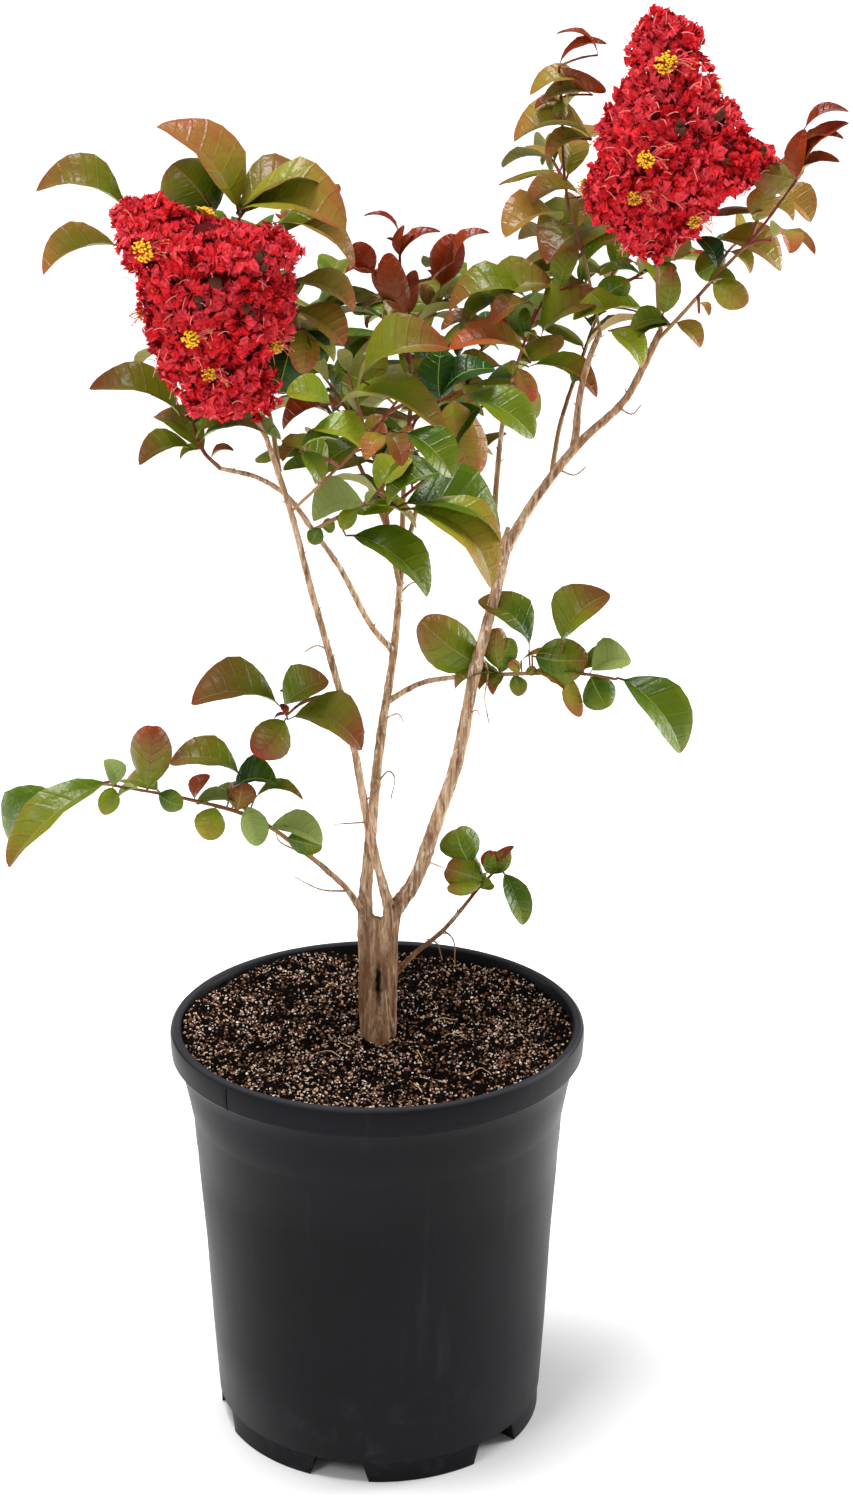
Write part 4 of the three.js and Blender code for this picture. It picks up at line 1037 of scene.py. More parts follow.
# Leaves placed by where they show in the view: root across and down, tip across and down, tint,
# width over length, how far it faces the view (0 up, 1 forward), and how much nearer its tip is than
# its root
LEAVES_SEEN = {
    "low_left_leaves": [
        (60, 788, 17, 854, "green", 0.6, 0.45, -8), (114, 782, 9, 868, "olive", 0.36, 0.25, 30),
        (106, 792, 104, 815, "fresh", 0.7, 0.8, 2), (117, 779, 104, 760, "silver", 0.8, 0.7, 0),
        (147, 790, 153, 726, "copper", 0.6, 0.9, 4), (160, 774, 183, 806, "green", 0.8, 0.9, 6),
        (196, 796, 210, 775, "rust", 0.6, 0.6, 0), (242, 778, 170, 763, "olive", 0.62, 0.3, 0),
        (232, 790, 277, 784, "deep", 0.95, 0.5, 4), (239, 805, 242, 782, "umber", 0.9, 0.9, 2),
        (254, 800, 303, 800, "olive", 0.42, 0.3, 4), (217, 805, 207, 840, "fresh", 0.9, 1.0, 8),
        (238, 806, 196, 804, "silver", 0.5, 0.3, 4), (247, 804, 258, 846, "silver", 0.66, 0.95, 10),
        (268, 828, 322, 845, "silver", 0.62, 0.5, 10), (300, 818, 322, 847, "green", 0.75, 0.9, 6),
        (274, 833, 299, 830, "olive", 0.5, 0.6, 6), (140, 800, 118, 797, "silver", 0.5, 0.4, 0)],
    "mid_left_leaves": [
        (281, 708, 191, 704, "bronze", 0.66, 0.4, 8), (283, 708, 329, 681, "bronze", 0.85, 0.7, 0),
        (286, 718, 255, 756, "copper", 0.85, 0.95, 10), (288, 720, 362, 750, "bronze", 0.66, 0.6, 10),
        (284, 712, 280, 704, "red", 0.6, 0.6, 0)],
    "right_mid_leaves": [
        (486, 668, 420, 621, "olive", 0.62, 0.75, 4), (529, 650, 478, 600, "turning", 0.58, 0.6, 0),
        (499, 671, 497, 628, "bronze", 0.6, 0.9, 4), (501, 671, 511, 638, "green", 0.6, 0.8, 0),
        (562, 645, 610, 594, "olive", 0.72, 0.7, 0), (532, 656, 588, 660, "turning", 0.85, 0.75, 6),
        (590, 673, 631, 660, "silver", 1.05, 0.6, 0), (616, 678, 681, 753, "green", 0.56, 0.5, 14),
        (529, 681, 568, 690, "pink", 0.5, 0.6, 6), (521, 661, 565, 665, "pink", 0.3, 0.1, 4),
        (569, 681, 580, 717, "amber", 0.42, 0.8, 6), (588, 681, 607, 708, "green", 0.95, 1.0, 8),
        (468, 681, 455, 689, "olive", 0.7, 0.6, 2), (497, 682, 479, 690, "amber", 0.5, 0.6, 2),
        (495, 678, 480, 675, "green", 0.5, 0.5, 0), (505, 689, 493, 695, "copper", 0.6, 0.7, 2),
        (513, 684, 520, 696, "olive", 0.8, 0.8, 4), (519, 677, 511, 661, "amber", 0.7, 0.8, 2),
        (524, 677, 536, 668, "olive", 0.7, 0.8, 2), (560, 668, 585, 676, "green", 0.6, 0.6, 4)],
    "right_low_leaves": [
        (472, 865, 456, 829, "green", 0.95, 0.95, 2), (470, 867, 446, 868, "olive", 0.85, 0.9, 6),
        (471, 872, 447, 889, "fresh", 0.42, 0.8, 8), (473, 866, 490, 872, "olive", 0.5, 0.7, 4),
        (477, 886, 492, 883, "green", 0.95, 1.0, 4), (497, 870, 493, 851, "rust", 0.8, 0.95, 2),
        (505, 860, 491, 850, "green", 0.5, 0.6, 0), (505, 862, 509, 850, "turning", 0.6, 0.8, 0),
        (506, 862, 514, 846, "copper", 0.3, 0.7, 0), (502, 871, 523, 925, "green", 0.46, 0.55, 10)],
    "far_left_leaves": [
        (184, 424, 89, 389, "bronze", 0.52, 0.4, 6), (195, 450, 139, 465, "olive", 0.62, 0.5, 8),
        (196, 442, 233, 418, "bronze", 0.7, 0.7, 4), (199, 443, 281, 440, "silver", 0.5, 0.4, 10),
        (211, 460, 234, 451, "rust", 0.55, 0.5, 2), (190, 457, 180, 459, "fresh", 0.6, 0.5, 2),
        (205, 420, 196, 401, "deep", 0.8, 0.8, 0)],
    "left_top_leaves": [
        (128, 214, 36, 191, "bronze", 0.6, 0.5, 0), (122, 248, 43, 275, "glow", 0.62, 0.45, 6),
        (238, 215, 156, 127, "glow", 0.62, 0.6, 0), (216, 218, 172, 164, "turning", 1.0, 0.8, 0),
        (238, 213, 322, 186, "umber", 0.85, 0.45, -6), (236, 213, 346, 231, "glow", 0.82, 0.68, 8),
        (268, 226, 354, 268, "glow", 0.46, 0.34, 4), (292, 284, 354, 312, "glow", 0.66, 0.5, 6),
        (294, 312, 344, 346, "glow", 0.7, 0.5, 8), (294, 336, 334, 362, "fresh", 0.6, 0.5, 2),
        (325, 338, 303, 374, "amber", 0.66, 0.6, 6), (301, 367, 279, 394, "deep", 0.7, 0.8, 4),
        (357, 365, 320, 361, "deep", 0.7, 0.6, 0), (331, 345, 300, 356, "fresh", 0.6, 0.5, 4)],
    "mid_centre_leaves": [
        (450, 474, 388, 506, "green", 0.72, 0.5, 4), (400, 510, 492, 588, "glow", 0.56, 0.5, 12),
        (396, 508, 500, 545, "green", 0.8, 0.4, -6), (368, 506, 313, 521, "silver", 1.0, 0.7, 6),
        (404, 511, 366, 504, "silver", 0.5, 0.5, 2), (357, 510, 341, 529, "fresh", 0.7, 0.9, 2),
        (325, 545, 335, 524, "green", 1.0, 0.9, 2), (346, 536, 427, 597, "green", 0.55, 0.5, 12),
        (309, 562, 311, 544, "green", 0.9, 0.9, 2)],
    "left_centre_leaves": [
        (395, 447, 383, 423, "pink", 0.6, 0.8, 0), (293, 485, 315, 484, "green", 0.6, 0.6, 4),
        (299, 436, 283, 430, "red", 0.6, 0.6, 0), (324, 470, 283, 470, "green", 0.5, 0.4, 8),
        (407, 454, 429, 472, "umber", 0.6, 0.7, 4)],
    "front_centre_leaves": [
        (335, 408, 443, 432, "olive", 0.4, 0.3, 30), (332, 406, 286, 393, "fresh", 0.85, 0.7, 4),
        (309, 431, 366, 452, "fresh", 0.75, 0.6, 8), (357, 431, 388, 418, "umber", 0.6, 0.5, 0),
        (362, 381, 449, 348, "bronze", 0.66, 0.6, 4), (299, 455, 338, 440, "green", 0.6, 0.4, 0),
        (298, 457, 322, 482, "green", 0.6, 0.6, 4), (386, 436, 403, 466, "umber", 0.6, 0.7, 10),
        (384, 437, 366, 460, "amber", 0.6, 0.7, 12), (324, 482, 281, 441, "olive", 0.5, 0.7, 4),
        (403, 433, 452, 477, "green", 0.66, 0.7, 10), (440, 402, 441, 350, "deep", 0.8, 0.9, 0),
        (440, 402, 495, 369, "deep", 0.6, 0.5, 0), (463, 395, 534, 438, "green", 0.6, 0.6, 8)],
    "centre_top_leaves": [
        (395, 231, 363, 216, "red", 0.24, 0.4, 0), (401, 256, 404, 225, "red", 0.3, 0.7, 0),
        (402, 250, 414, 234, "rust", 0.35, 0.7, 0), (399, 252, 386, 238, "red", 0.35, 0.7, 0),
        (370, 281, 354, 243, "red", 0.75, 0.8, 0), (371, 281, 345, 273, "red", 0.6, 0.6, 4),
        (394, 306, 374, 270, "rust", 0.6, 0.8, 0), (407, 317, 387, 253, "rust", 0.45, 0.8, 4),
        (409, 316, 415, 270, "rust", 0.42, 0.8, 0), (410, 258, 441, 232, "red", 0.42, 0.6, 0),
        (404, 311, 362, 310, "umber", 0.4, 0.4, 6), (438, 318, 422, 284, "umber", 0.62, 0.8, 0),
        (441, 288, 455, 234, "red", 0.62, 0.8, 4), (440, 284, 427, 270, "red", 0.6, 0.7, 0),
        (454, 262, 490, 233, "red", 0.42, 0.6, 0), (530, 302, 449, 312, "bronze", 0.66, 0.6, 8),
        (528, 303, 555, 285, "olive", 0.8, 0.6, 0), (506, 303, 464, 322, "olive", 0.6, 0.5, 4),
        (484, 321, 441, 330, "umber", 0.5, 0.5, 4), (425, 365, 400, 340, "deep", 0.7, 0.6, 0),
        (450, 455, 480, 408, "deep", 0.85, 0.7, 0), (477, 447, 474, 477, "amber", 0.6, 0.9, 4),
        (408, 405, 432, 380, "bronze", 0.6, 0.7, 0)],
    "back_stem_leaves": [
        (530, 303, 492, 325, "umber", 0.66, 0.7, 4), (531, 363, 449, 349, "pink", 0.52, 0.6, 8),
        (529, 367, 597, 397, "copper", 0.44, 0.6, 8), (530, 371, 535, 401, "pink", 0.55, 0.9, 2),
        (521, 380, 513, 360, "olive", 0.6, 0.8, 2), (541, 338, 604, 300, "bronze", 0.85, 0.7, 6)],
    "right_left_leaves": [
        (590, 90, 530, 95, "tan", 0.6, 0.5, 4), (593, 95, 543, 102, "tan", 0.6, 0.6, 4),
        (567, 98, 557, 121, "olive", 0.62, 0.9, 6), (545, 103, 535, 109, "rust", 0.6, 0.6, 2),
        (592, 139, 514, 142, "tan", 0.8, 0.5, 8), (592, 140, 547, 164, "tan", 0.6, 0.6, 6),
        (583, 197, 525, 206, "glow", 0.62, 0.5, 6), (562, 225, 505, 238, "tan", 0.72, 0.6, 24),
        (620, 243, 547, 264, "bronze", 0.8, 0.62, 40), (598, 55, 556, 34, "red", 0.22, 0.4, 0),
        (599, 53, 607, 44, "red", 0.3, 0.6, 0), (601, 62, 606, 92, "rust", 0.3, 0.8, 2),
        (568, 281, 602, 275, "olive", 0.5, 0.5, 4), (643, 278, 599, 276, "green", 0.42, 0.4, 2),
        (648, 315, 573, 320, "fresh", 0.5, 0.4, 10), (648, 306, 629, 281, "green", 0.7, 0.8, 2),
        (560, 290, 577, 250, "olive", 0.6, 0.7, -4), (590, 265, 620, 240, "olive", 0.6, 0.7, -4)],
    "right_end_leaves": [
        (611, 327, 630, 329, "green", 0.7, 0.7, 2), (608, 331, 641, 368, "fresh", 0.66, 0.7, 8),
        (656, 331, 635, 340, "olive", 0.62, 0.6, 4), (669, 318, 700, 348, "tan", 0.66, 0.7, 6),
        (718, 289, 748, 303, "tan", 0.72, 0.8, 6), (697, 303, 709, 316, "amber", 0.5, 0.7, 4),
        (702, 282, 736, 280, "green", 0.7, 0.7, 4), (662, 316, 671, 266, "olive", 0.46, 0.8, 0),
        (716, 246, 697, 274, "green", 0.9, 0.9, 2), (713, 242, 781, 271, "tan", 0.7, 0.6, 8),
        (720, 246, 750, 274, "tan", 0.6, 0.7, 4), (771, 191, 811, 222, "tan", 0.85, 0.6, 6),
        (756, 206, 793, 221, "tan", 0.8, 0.7, 6), (746, 218, 768, 186, "tan", 0.8, 0.8, 0),
        (746, 218, 763, 211, "tan", 0.6, 0.7, 4), (804, 130, 849, 112, "red", 0.4, 0.6, 0),
        (809, 139, 849, 123, "red", 0.32, 0.6, 2), (790, 147, 805, 129, "rust", 0.4, 0.6, 0),
        (796, 153, 844, 139, "rust", 0.34, 0.5, 4), (797, 161, 840, 162, "rust", 0.42, 0.5, 6),
        (772, 180, 804, 156, "copper", 0.62, 0.8, 4), (781, 166, 753, 172, "umber", 0.8, 0.8, 2),
        (777, 177, 762, 192, "tan", 0.62, 0.8, 4), (731, 226, 716, 238, "deep", 0.6, 0.6, -4),
        (672, 248, 697, 238, "deep", 0.6, 0.6, -6)],
}

# Which masses each joined piece of leaves stands for
LEAF_PIECES = {
    "lower_leaves": ("low_left_leaves", "mid_left_leaves", "right_mid_leaves", "right_low_leaves"),
    "left_crown_leaves": ("far_left_leaves", "left_top_leaves", "mid_centre_leaves", "left_centre_leaves",
                          "front_centre_leaves"),
    "right_crown_leaves": ("centre_top_leaves", "back_stem_leaves", "right_left_leaves",
                           "right_end_leaves"),
    "back_crown_leaves": ("back_left_leaves", "back_centre_leaves", "back_right_leaves"),
}


class LeafForm:
    """The grid that a leaf is bent from: rows from stalk to tip, columns from edge to edge."""

    STALK = 0.07            # share of the length that is stalk
    VEIN_LEAN = 0.17        # how far the margin runs ahead of the midrib, for slanting veins

    def __init__(self, rows, columns):
        even = np.linspace(0, 1, rows)
        blade = 0.16 * even + 0.42 * (1 - np.cos(math.pi * even))
        self.along = np.concatenate([[-1.0], blade])[:, None]
        self.across = np.array(columns)[None, :]
        self.on_stalk = self.along < 0
        base = np.clip(self.along, 0, 1)
        self.base = base + 0 * self.across
        self.share = base + self.VEIN_LEAN * np.sin(math.pi * base) * np.abs(self.across)
        self.share = np.clip(self.share, 0, 1)
        self.outline = np.sin(math.pi * self.share) ** (0.64 - 0.14 * self.share)
        self.rows, self.columns = rows + 1, len(columns)
        top = np.arange(self.rows * self.columns).reshape(self.rows, self.columns)
        inner = np.zeros_like(top, bool)
        inner[1:-1, 1:-1] = True
        self.inner = inner.ravel()
        under = top.copy()
        under[inner] = len(self.inner) + np.arange(inner.sum())
        upper = grid_faces(self.rows, self.columns)
        self.faces = np.concatenate([upper, under.ravel()[upper][:, [0, 3, 2, 1]]])
        cell_row, cell_column = np.divmod(np.arange(len(upper)), self.columns - 1)
        middle = (self.across[0, :-1] + self.across[0, 1:]) / 2
        self.cell_along = np.clip((self.along[cell_row, 0] + self.along[cell_row + 1, 0]) / 2, 0, 1)
        self.cell_across = np.abs(middle)[cell_column]
        self.cell_is_stalk = cell_row == 0
        self.cell_is_rib = self.cell_across < 0.01


LARGE_LEAF = LeafForm(12, [-1, -0.8, -0.45, -0.02, 0.02, 0.45, 0.8, 1])
MIDDLE_LEAF = LeafForm(11, [-1, -0.6, -0.025, 0.025, 0.6, 1])
SMALL_LEAF = LeafForm(8, [-1, -0.035, 0.035, 1])
LARGE_OVER, SMALL_UNDER = 36, 11    # lengths that choose the form
# Ranges of a leaf's arch, the slope of its halves and its dome, for an open leaf and a folded one
OPEN_BEND = ((0.75, 1.4), (0.1, 0.3), (0.55, 1.0))
FOLDED_BEND = ((1.4, 2.2), (0.62, 0.85), (0.18, 0.3))
LEAF_WAVES, LEAF_BLISTERS = 2.2, 6  # along the margin, and pairs of them along the midrib

FOLDED_UNDER = 0.75                 # a placed leaf that faces the view less than this is folded
FOLDED_WIDER = 1.06
STALKED_OVER = 22                   # a shorter placed leaf sits right on its twig
BEFORE_TWIG = 1                     # how much nearer than its twig a placed leaf starts
STALK_OVER, STALK_RADIUS = 1.5, 0.45    # a shorter stalk is left out
PLACED, PAIRED, YOUNG = 0, 1, 2     # how a leaf came about, in the order in which leaves are chosen
YOUNG_PLACES, YOUNG_WIDTH = (0.45, 0.7, 0.97), 0.42     # along a twig, and of a leaf's length
# Places on a leaf that stand for it: shares of its length, and of half its width
LEAF_SPOTS = [(0.3, 0), (0.5, 0), (0.7, 0), (0.95, 0), (0.45, 0.7), (0.45, -0.7), (0.7, 0.55), (0.7, -0.55)]
COVERS_WITHIN = 11                  # distance in the view under which one leaf covers another
CLEAR_OF_LEAVES, YOUNG_CLEAR, CLEAR_OF_LIMBS = 3.8, 3.2, 4.5
LEAVES_INTO_HEAD = 3                # how far a leaf may reach into a flower head
RED_TWIGS_ABOVE = 560               # height over which stems are young and red-brown
Leaf = namedtuple("Leaf", "mass seed root tip facing tint width folded rank")


def bend_leaf(form, length, width, dice, folded):
    """Points of a leaf along x, with y to its side and z over its upper face. A folded leaf is a
    gutter along its midrib, and any other a dome."""
    arch, fold, dome = (dice.uniform(*span) for span in OPEN_BEND)
    if folded:
        arch, fold, dome = (dice.uniform(*span) for span in FOLDED_BEND)
    wave, phase = dice.uniform(0.006, 0.022), dice.uniform(0, 6.3)
    twist, sway = dice.uniform(-0.4, 0.4), dice.uniform(-0.07, 0.07)
    blade = form.STALK + (1 - form.STALK) * form.share
    x = np.where(form.on_stalk, 0, blade)
    half = np.maximum(width / 2 * form.outline, 0.016 * (1 - form.share) + 0.001)
    half = np.where(form.on_stalk, 0.018, half)
    side = form.across
    y = half * side
    puff = np.sin(math.pi * LEAF_BLISTERS * form.base)**2 * 4 * np.abs(side) * (1 - np.abs(side))
    z = half * (fold * np.abs(side) - dome * side**2) + 0.006 * puff * (form.base > 0)
    ripple = np.sin(2 * math.pi * LEAF_WAVES * x + phase + side) * np.abs(side)**3
    z = z + wave * ripple * np.sin(math.pi * form.share)
    angle = twist * (x - 0.3)
    y, z = y * np.cos(angle) - z * np.sin(angle), y * np.sin(angle) + z * np.cos(angle)
    y = y + sway * np.sin(math.pi * x)
    z = z + LEAF_ARCH * arch * 1.6 * x**0.7 * (1 - x**1.8)
    top = np.stack([x + 0 * y, y, z], axis=-1) * length
    normals = np.cross(np.gradient(top, axis=0), np.gradient(top, axis=1))
    normals /= np.linalg.norm(normals, axis=2, keepdims=True) + 1e-9
    below = (top - normals * LEAF_THICK).reshape(-1, 3)[form.inner]
    return np.concatenate([top.reshape(-1, 3), below])


def leaf_colours(form, tint, dice):
    """A finish for each face of a leaf: the season's colours above, then the underside."""
    base, tip, margin, pale = TINTS[tint]
    shift = dice.uniform(-0.05, 0.05)
    blotch = 0.03 * np.sin(form.cell_along * dice.uniform(5, 9) + dice.uniform(0, 6))
    value = base + shift + (tip - base) * form.cell_along**1.3 + margin * form.cell_across**2 + blotch
    step = np.clip(np.rint(value * (SEASON_STEPS - 1)), 0, SEASON_STEPS - 1).astype(int)
    upper = step + SEASON_STEPS * pale
    if pale == SILVERY:
        upper = np.full(len(step), UNDER_FIRST)
    kind = sum(tip >= limit for limit in RIB_LIMITS)
    upper = np.where(form.cell_is_rib, RIB_FIRST + kind, upper)
    below = np.full(len(upper), UNDER_FIRST + (len(RIB_LIMITS) + 1 if base > RIB_LIMITS[-1] else kind))
    upper, below = (np.where(form.cell_is_stalk, STALK_FINISH, side) for side in (upper, below))
    return np.concatenate([upper, below])


def leaf_basis(root, tip, facing):
    along = unit(tip - root)
    over = unit(facing - along * (facing @ along))
    return np.stack([along, np.cross(over, along), over])


def add_leaf(batch, leaf):
    dice = np.random.RandomState(leaf.seed)
    root, tip = leaf.root, leaf.tip
    length = np.linalg.norm(tip - root)
    form = SMALL_LEAF if length < SMALL_UNDER else MIDDLE_LEAF if length < LARGE_OVER else LARGE_LEAF
    points = bend_leaf(form, length, leaf.width, dice, leaf.folded)
    uv = np.stack([form.base.ravel(), (form.across + 0 * form.base).ravel() / 2 + 0.5], axis=-1)
    uv = np.concatenate([uv, uv[form.inner]])
    placed = root + points @ leaf_basis(root, tip, leaf.facing)
    batch.add(placed, form.faces, leaf_colours(form, leaf.tint, dice), uv)


def facing_of(root, lean):
    """Which way a leaf's upper face looks: up, and out from the crown's axis."""
    out = np.array([root[0], root[1], 0.0])
    if out @ out > 1:
        out = unit(out)
    return UP + 0.3 * out + lean


def paired_leaves(run, pairs, size, dice):
    """Pairs of leaves along a twig, each pair turned from the last, and one at its end."""
    leaves = []
    for pair in range(pairs):
        t = 0.3 + 0.62 * (pair + 0.5) / pairs
        along = run.way(t)
        side = np.cross(along, UP)
        side = unit(side) if side @ side >= 0.04 else np.array([1.0, 0, 0])
        over = unit(np.cross(side, along))
        turn = (pair % 2) * (math.pi / 2) * (0.2 + 0.7 * abs(along[2])) + (dice() - 0.5) * 0.5
        for sign in (-1, 1):
            reach = size * (1 - 0.25 * t) * (0.9 + 0.3 * dice())
            way = unit(0.85 * swing(side, over, turn) * sign + 0.5 * along + UP * (0.1 - 0.35 * dice()))
            leaves.append((t, way, reach))
    if pairs > 0:
        upright = smoothstep(run.way(1)[2], 0.5, 0.9)
        leaves.append((1, unit(run.way(1) - 0.3 * dice() * UP), (0.8 - 0.5 * upright) * size))
    return leaves


def next_seed(mass, leaves):
    return mass.seed * 1000 + len(leaves)


def list_leaf(leaves, mass, root, tip, facing, tint, width, folded, rank):
    """Lists a leaf of a mass with a seed of its own. Its width is a share of its length."""
    leaves.append(Leaf(mass.name, next_seed(mass, leaves), root, tip, facing, tint, width, folded, rank))


def dress(mass, run, pairs, size, dice, leaves):
    """Lists the paired leaves of one twig."""
    tints = mass.tints.split()
    for index, (at, way, reach) in enumerate(paired_leaves(run, pairs, size, dice)):
        lean = np.array([dice() - 0.5, dice() - 0.5, 0]) * 0.5
        root = run.at(max(0.04, at - ROOT_STEP * (0.5 + index % 4) / run.length))
        tint = tints[next_seed(mass, leaves) * 7 % len(tints)]
        width = LEAF_WIDTH * (0.95 + 0.3 * dice())
        list_leaf(leaves, mass, root, run.at(at) + way * reach, facing_of(root, lean), tint, width,
                  index % 3 != 0, PAIRED)


def place_seen(mass, runs, twigs, leaves):
    """Lists the leaves placed by the view, each on a stalk from the nearest twig of its mass."""
    spots = np.concatenate([run.stretch(0.1, 1, 1.5).points for run in runs])
    shown = shows_at(spots)
    for x, y, tip_x, tip_y, tint, width, front, nearer in LEAVES_SEEN.get(mass.name, []):
        carrier = spots[np.argmin(np.linalg.norm(shown - [x, y], axis=1))]
        root = seen(x, y, carrier[1] - BEFORE_TWIG)
        tip = seen(tip_x, tip_y, carrier[1] - BEFORE_TWIG - nearer)
        if np.linalg.norm(tip - root) < STALKED_OVER:
            root = carrier
        folded = front < FOLDED_UNDER
        facing = UP + FRONT * (0.12 + 0.5 * front) if folded else UP * (1 - front) + FRONT * front
        list_leaf(leaves, mass, root, tip, facing, tint, width * (FOLDED_WIDER if folded else 1), folded,
                  PLACED)
        gap = np.linalg.norm(root - carrier)
        if gap > STALK_OVER:
            twigs.append((bowed_run(carrier, root, gap * 0.1, 8), STALK_RADIUS + 0.01 * gap, STALK_RADIUS))


def small_shoots(mass, run, dice, leaves):
    """Lists tiny young leaves in pairs at the twig's end and at a few joints."""
    for at in YOUNG_PLACES:
        at_end = at == YOUNG_PLACES[-1]
        if not at_end and dice.uniform() < 0.35:
            continue
        along = run.way(at)
        side = unit(np.cross(along, dice.normal(size=3)))
        tint = "red" if at_end and mass.tints.startswith(("copper", "bronze", "olive")) else "green"
        for sign in (-1, 1):
            way = unit(side * sign + along * dice.uniform(0.6, 1.4))
            root = run.at(at)
            tip = root + way * dice.uniform(9, 17)
            list_leaf(leaves, mass, root, tip, UP + 0.4 * FRONT, tint, YOUNG_WIDTH, True, YOUNG)


def grow_masses():
    """Every twig's run with its radii, and every leaf."""
    twigs, leaves = [], []
    for mass in MASSES:
        dice = Dice(mass.seed)
        shoots = np.random.RandomState(mass.seed)
        stem = smooth_run(mass.stem)
        runs = [stem]
        twigs.append((stem, mass.radius, STEM_TIP_RADIUS))
        dress(mass, stem, mass.pairs, mass.size, dice, leaves)
        for at, end, pairs, size in mass.twigs:
            start, end = stem.at(at), np.array(end, float)
            runs.append(bowed_run(start, end, np.linalg.norm(end - start) * 0.08))
            twigs.append((runs[-1], TWIG_RADIUS, TWIG_TIP_RADIUS))
            dress(mass, runs[-1], pairs, size, dice, leaves)
        for run in runs:
            small_shoots(mass, run, shoots, leaves)
        place_seen(mass, runs, twigs, leaves)
    return twigs, leaves


def leaf_spots(leaf):
    """Points over a leaf that stand for it when leaves are kept apart."""
    along, across, over = leaf_basis(leaf.root, leaf.tip, leaf.facing)
    half, length = leaf.width / 2, np.linalg.norm(leaf.tip - leaf.root)
    spots = [along * s + across * half * c + over * LEAF_ARCH * math.sin(math.pi * s) for s, c in LEAF_SPOTS]
    return leaf.root + length * np.array(spots)


def in_blossom(spots, head):
    """True where a spot lies inside a flower head."""
    middle, half = head_row(head, spots[:, 2])
    half = np.maximum(half - LEAVES_INTO_HEAD, 1)
    x, y = (spots[:, 0] - middle) / half, (spots[:, 1] - head.depth_at) / (half * BLOSSOM_DEPTH)
    inside = (spots[:, 2] < head.rows[0][0]) & (spots[:, 2] > head.rows[-1][0])
    return bool((inside & (x**2 + y**2 < 1)).any())


def nearest(spots, others):
    """The least distance from one set of points to another."""
    return np.linalg.norm(spots[:, None] - others[None], axis=2).min()


def choose_leaves(leaves):
    """Keeps the leaves placed by the view, and of the rest those that have room and cover none of
    these."""
    limbs = np.concatenate([smooth_run(points).stretch(0, 1, 4).points for _, points in BOUGHS.values()])
    placed = np.concatenate([leaf_spots(leaf) for leaf in leaves if leaf.rank == PLACED])
    placed_shown = shows_at(placed)

    def fits(spots, apart):
        near = np.linalg.norm(shows_at(spots)[:, None] - placed_shown[None], axis=2) < COVERS_WITHIN
        if (near & (spots[:, None, 1] < placed[None, :, 1] - 1)).any():
            return False
        if nearest(spots, taken) < apart or nearest(spots, limbs) < CLEAR_OF_LIMBS:
            return False
        if (spots < CROWN_LOW).any() or (spots > CROWN_HIGH).any():
            return False
        return not any(in_blossom(spots, head) for head in BLOSSOMS)

    kept, taken = [], np.zeros((0, 3))
    for leaf in sorted(leaves, key=lambda item: item.rank):
        spots = leaf_spots(leaf)
        apart = YOUNG_CLEAR if leaf.rank == YOUNG else CLEAR_OF_LEAVES
        if leaf.rank == PLACED or fits(spots, apart):
            kept.append(leaf)
            taken = np.concatenate([taken, spots])
    return kept


def make_leaf_pieces(leaves, materials):
    pieces = {}
    for name, masses in LEAF_PIECES.items():
        batch = Batch()
        for leaf in leaves:
            if leaf.mass in masses:
                add_leaf(batch, leaf)
        pieces[name] = make_piece(name, batch, materials)
    return pieces


def make_twigs(twigs):
    """The twigs that carry the leaves: tan at their root, red-brown where they are young."""
    batch = Batch()
    for index, (run, root, tip) in enumerate(twigs):
        young = run.points[:, 2].mean() > RED_TWIGS_ABOVE or root == TWIG_RADIUS
        points, faces = tube(run, root, tip, 7, step=1.6, relief=bark_relief(70 + index))
        share = np.linspace(0, 1, len(faces[0]))
        tan, brown = (0.0, 0.25) if root == TWIG_RADIUS else (0.3, 0.6)
        finish = np.where(share < tan, 0, np.where(share < brown, 1, 2 if young else 1))
        batch.add(points, faces, [finish, finish[-1], finish[-1]])
    return make_piece("leafy_twigs", batch, twig_finishes())


# ---- Blossom ---------------------------------------------------------------

# A flower head: its depth (Y), its stalk, rows of (height, middle across, half its width) from the
# top down, and where its knots of buds and its yellow clusters of anthers show: (across, height, size)
Head = namedtuple("Head", "name seed depth_at stalk rows buds clusters")
BLOSSOMS = [
    Head("left_blossom", 31, -60,
         [(-53, -43, 576), (-58, -50, 588), (-66, -57, 612)],
         [(702, -108, 3), (699, -107, 13), (693, -104, 20), (688, -99, 27), (685, -90, 37), (680, -81, 44),
          (673, -78, 47), (664, -78, 42), (650, -74, 41), (638, -74, 40), (626, -76, 35), (614, -77, 30),
          (600, -70, 28), (591, -72, 20), (587, -74, 4)],
         [(-72, 662, 3.2), (-48, 673, 4.0), (-79, 651, 3.4), (-57, 647, 3.0)],
         [(-108, 676, 1.2), (-86, 633, 0.95), (-78, 615, 0.8), (-44, 626, 0.8)]),
    Head("right_blossom", 32, 0,
         [(147, 0, 622), (145, 0, 640), (144, 0, 668)],
         [(783, 142, 3), (780, 142, 10), (775, 145, 16), (766, 146, 21), (751, 147, 23), (741, 149, 30),
          (731, 149, 37), (722, 150, 40), (717, 156, 46), (708, 156, 47), (695, 150, 45), (688, 143, 38),
          (680, 141, 34), (671, 143, 24), (660, 140, 12), (655, 146, 3)],
         [(172, 733, 3.2), (196, 714, 3.6), (150, 727, 3.0), (176, 712, 2.6)],
         [(144, 757, 1.2), (134, 712, 0.95), (129, 692, 0.8), (161, 679, 0.8)]),
]
PETAL_ROWS = np.array([0.8, 3.0, 4.6, 6.6, 8.6])           # distance from the flower's middle
PETAL_HALF = np.array([0.3, 0.5, 2.9, 4.1, 3.7])           # half its width there
PETAL_COLUMNS = 9
PETALS = 6
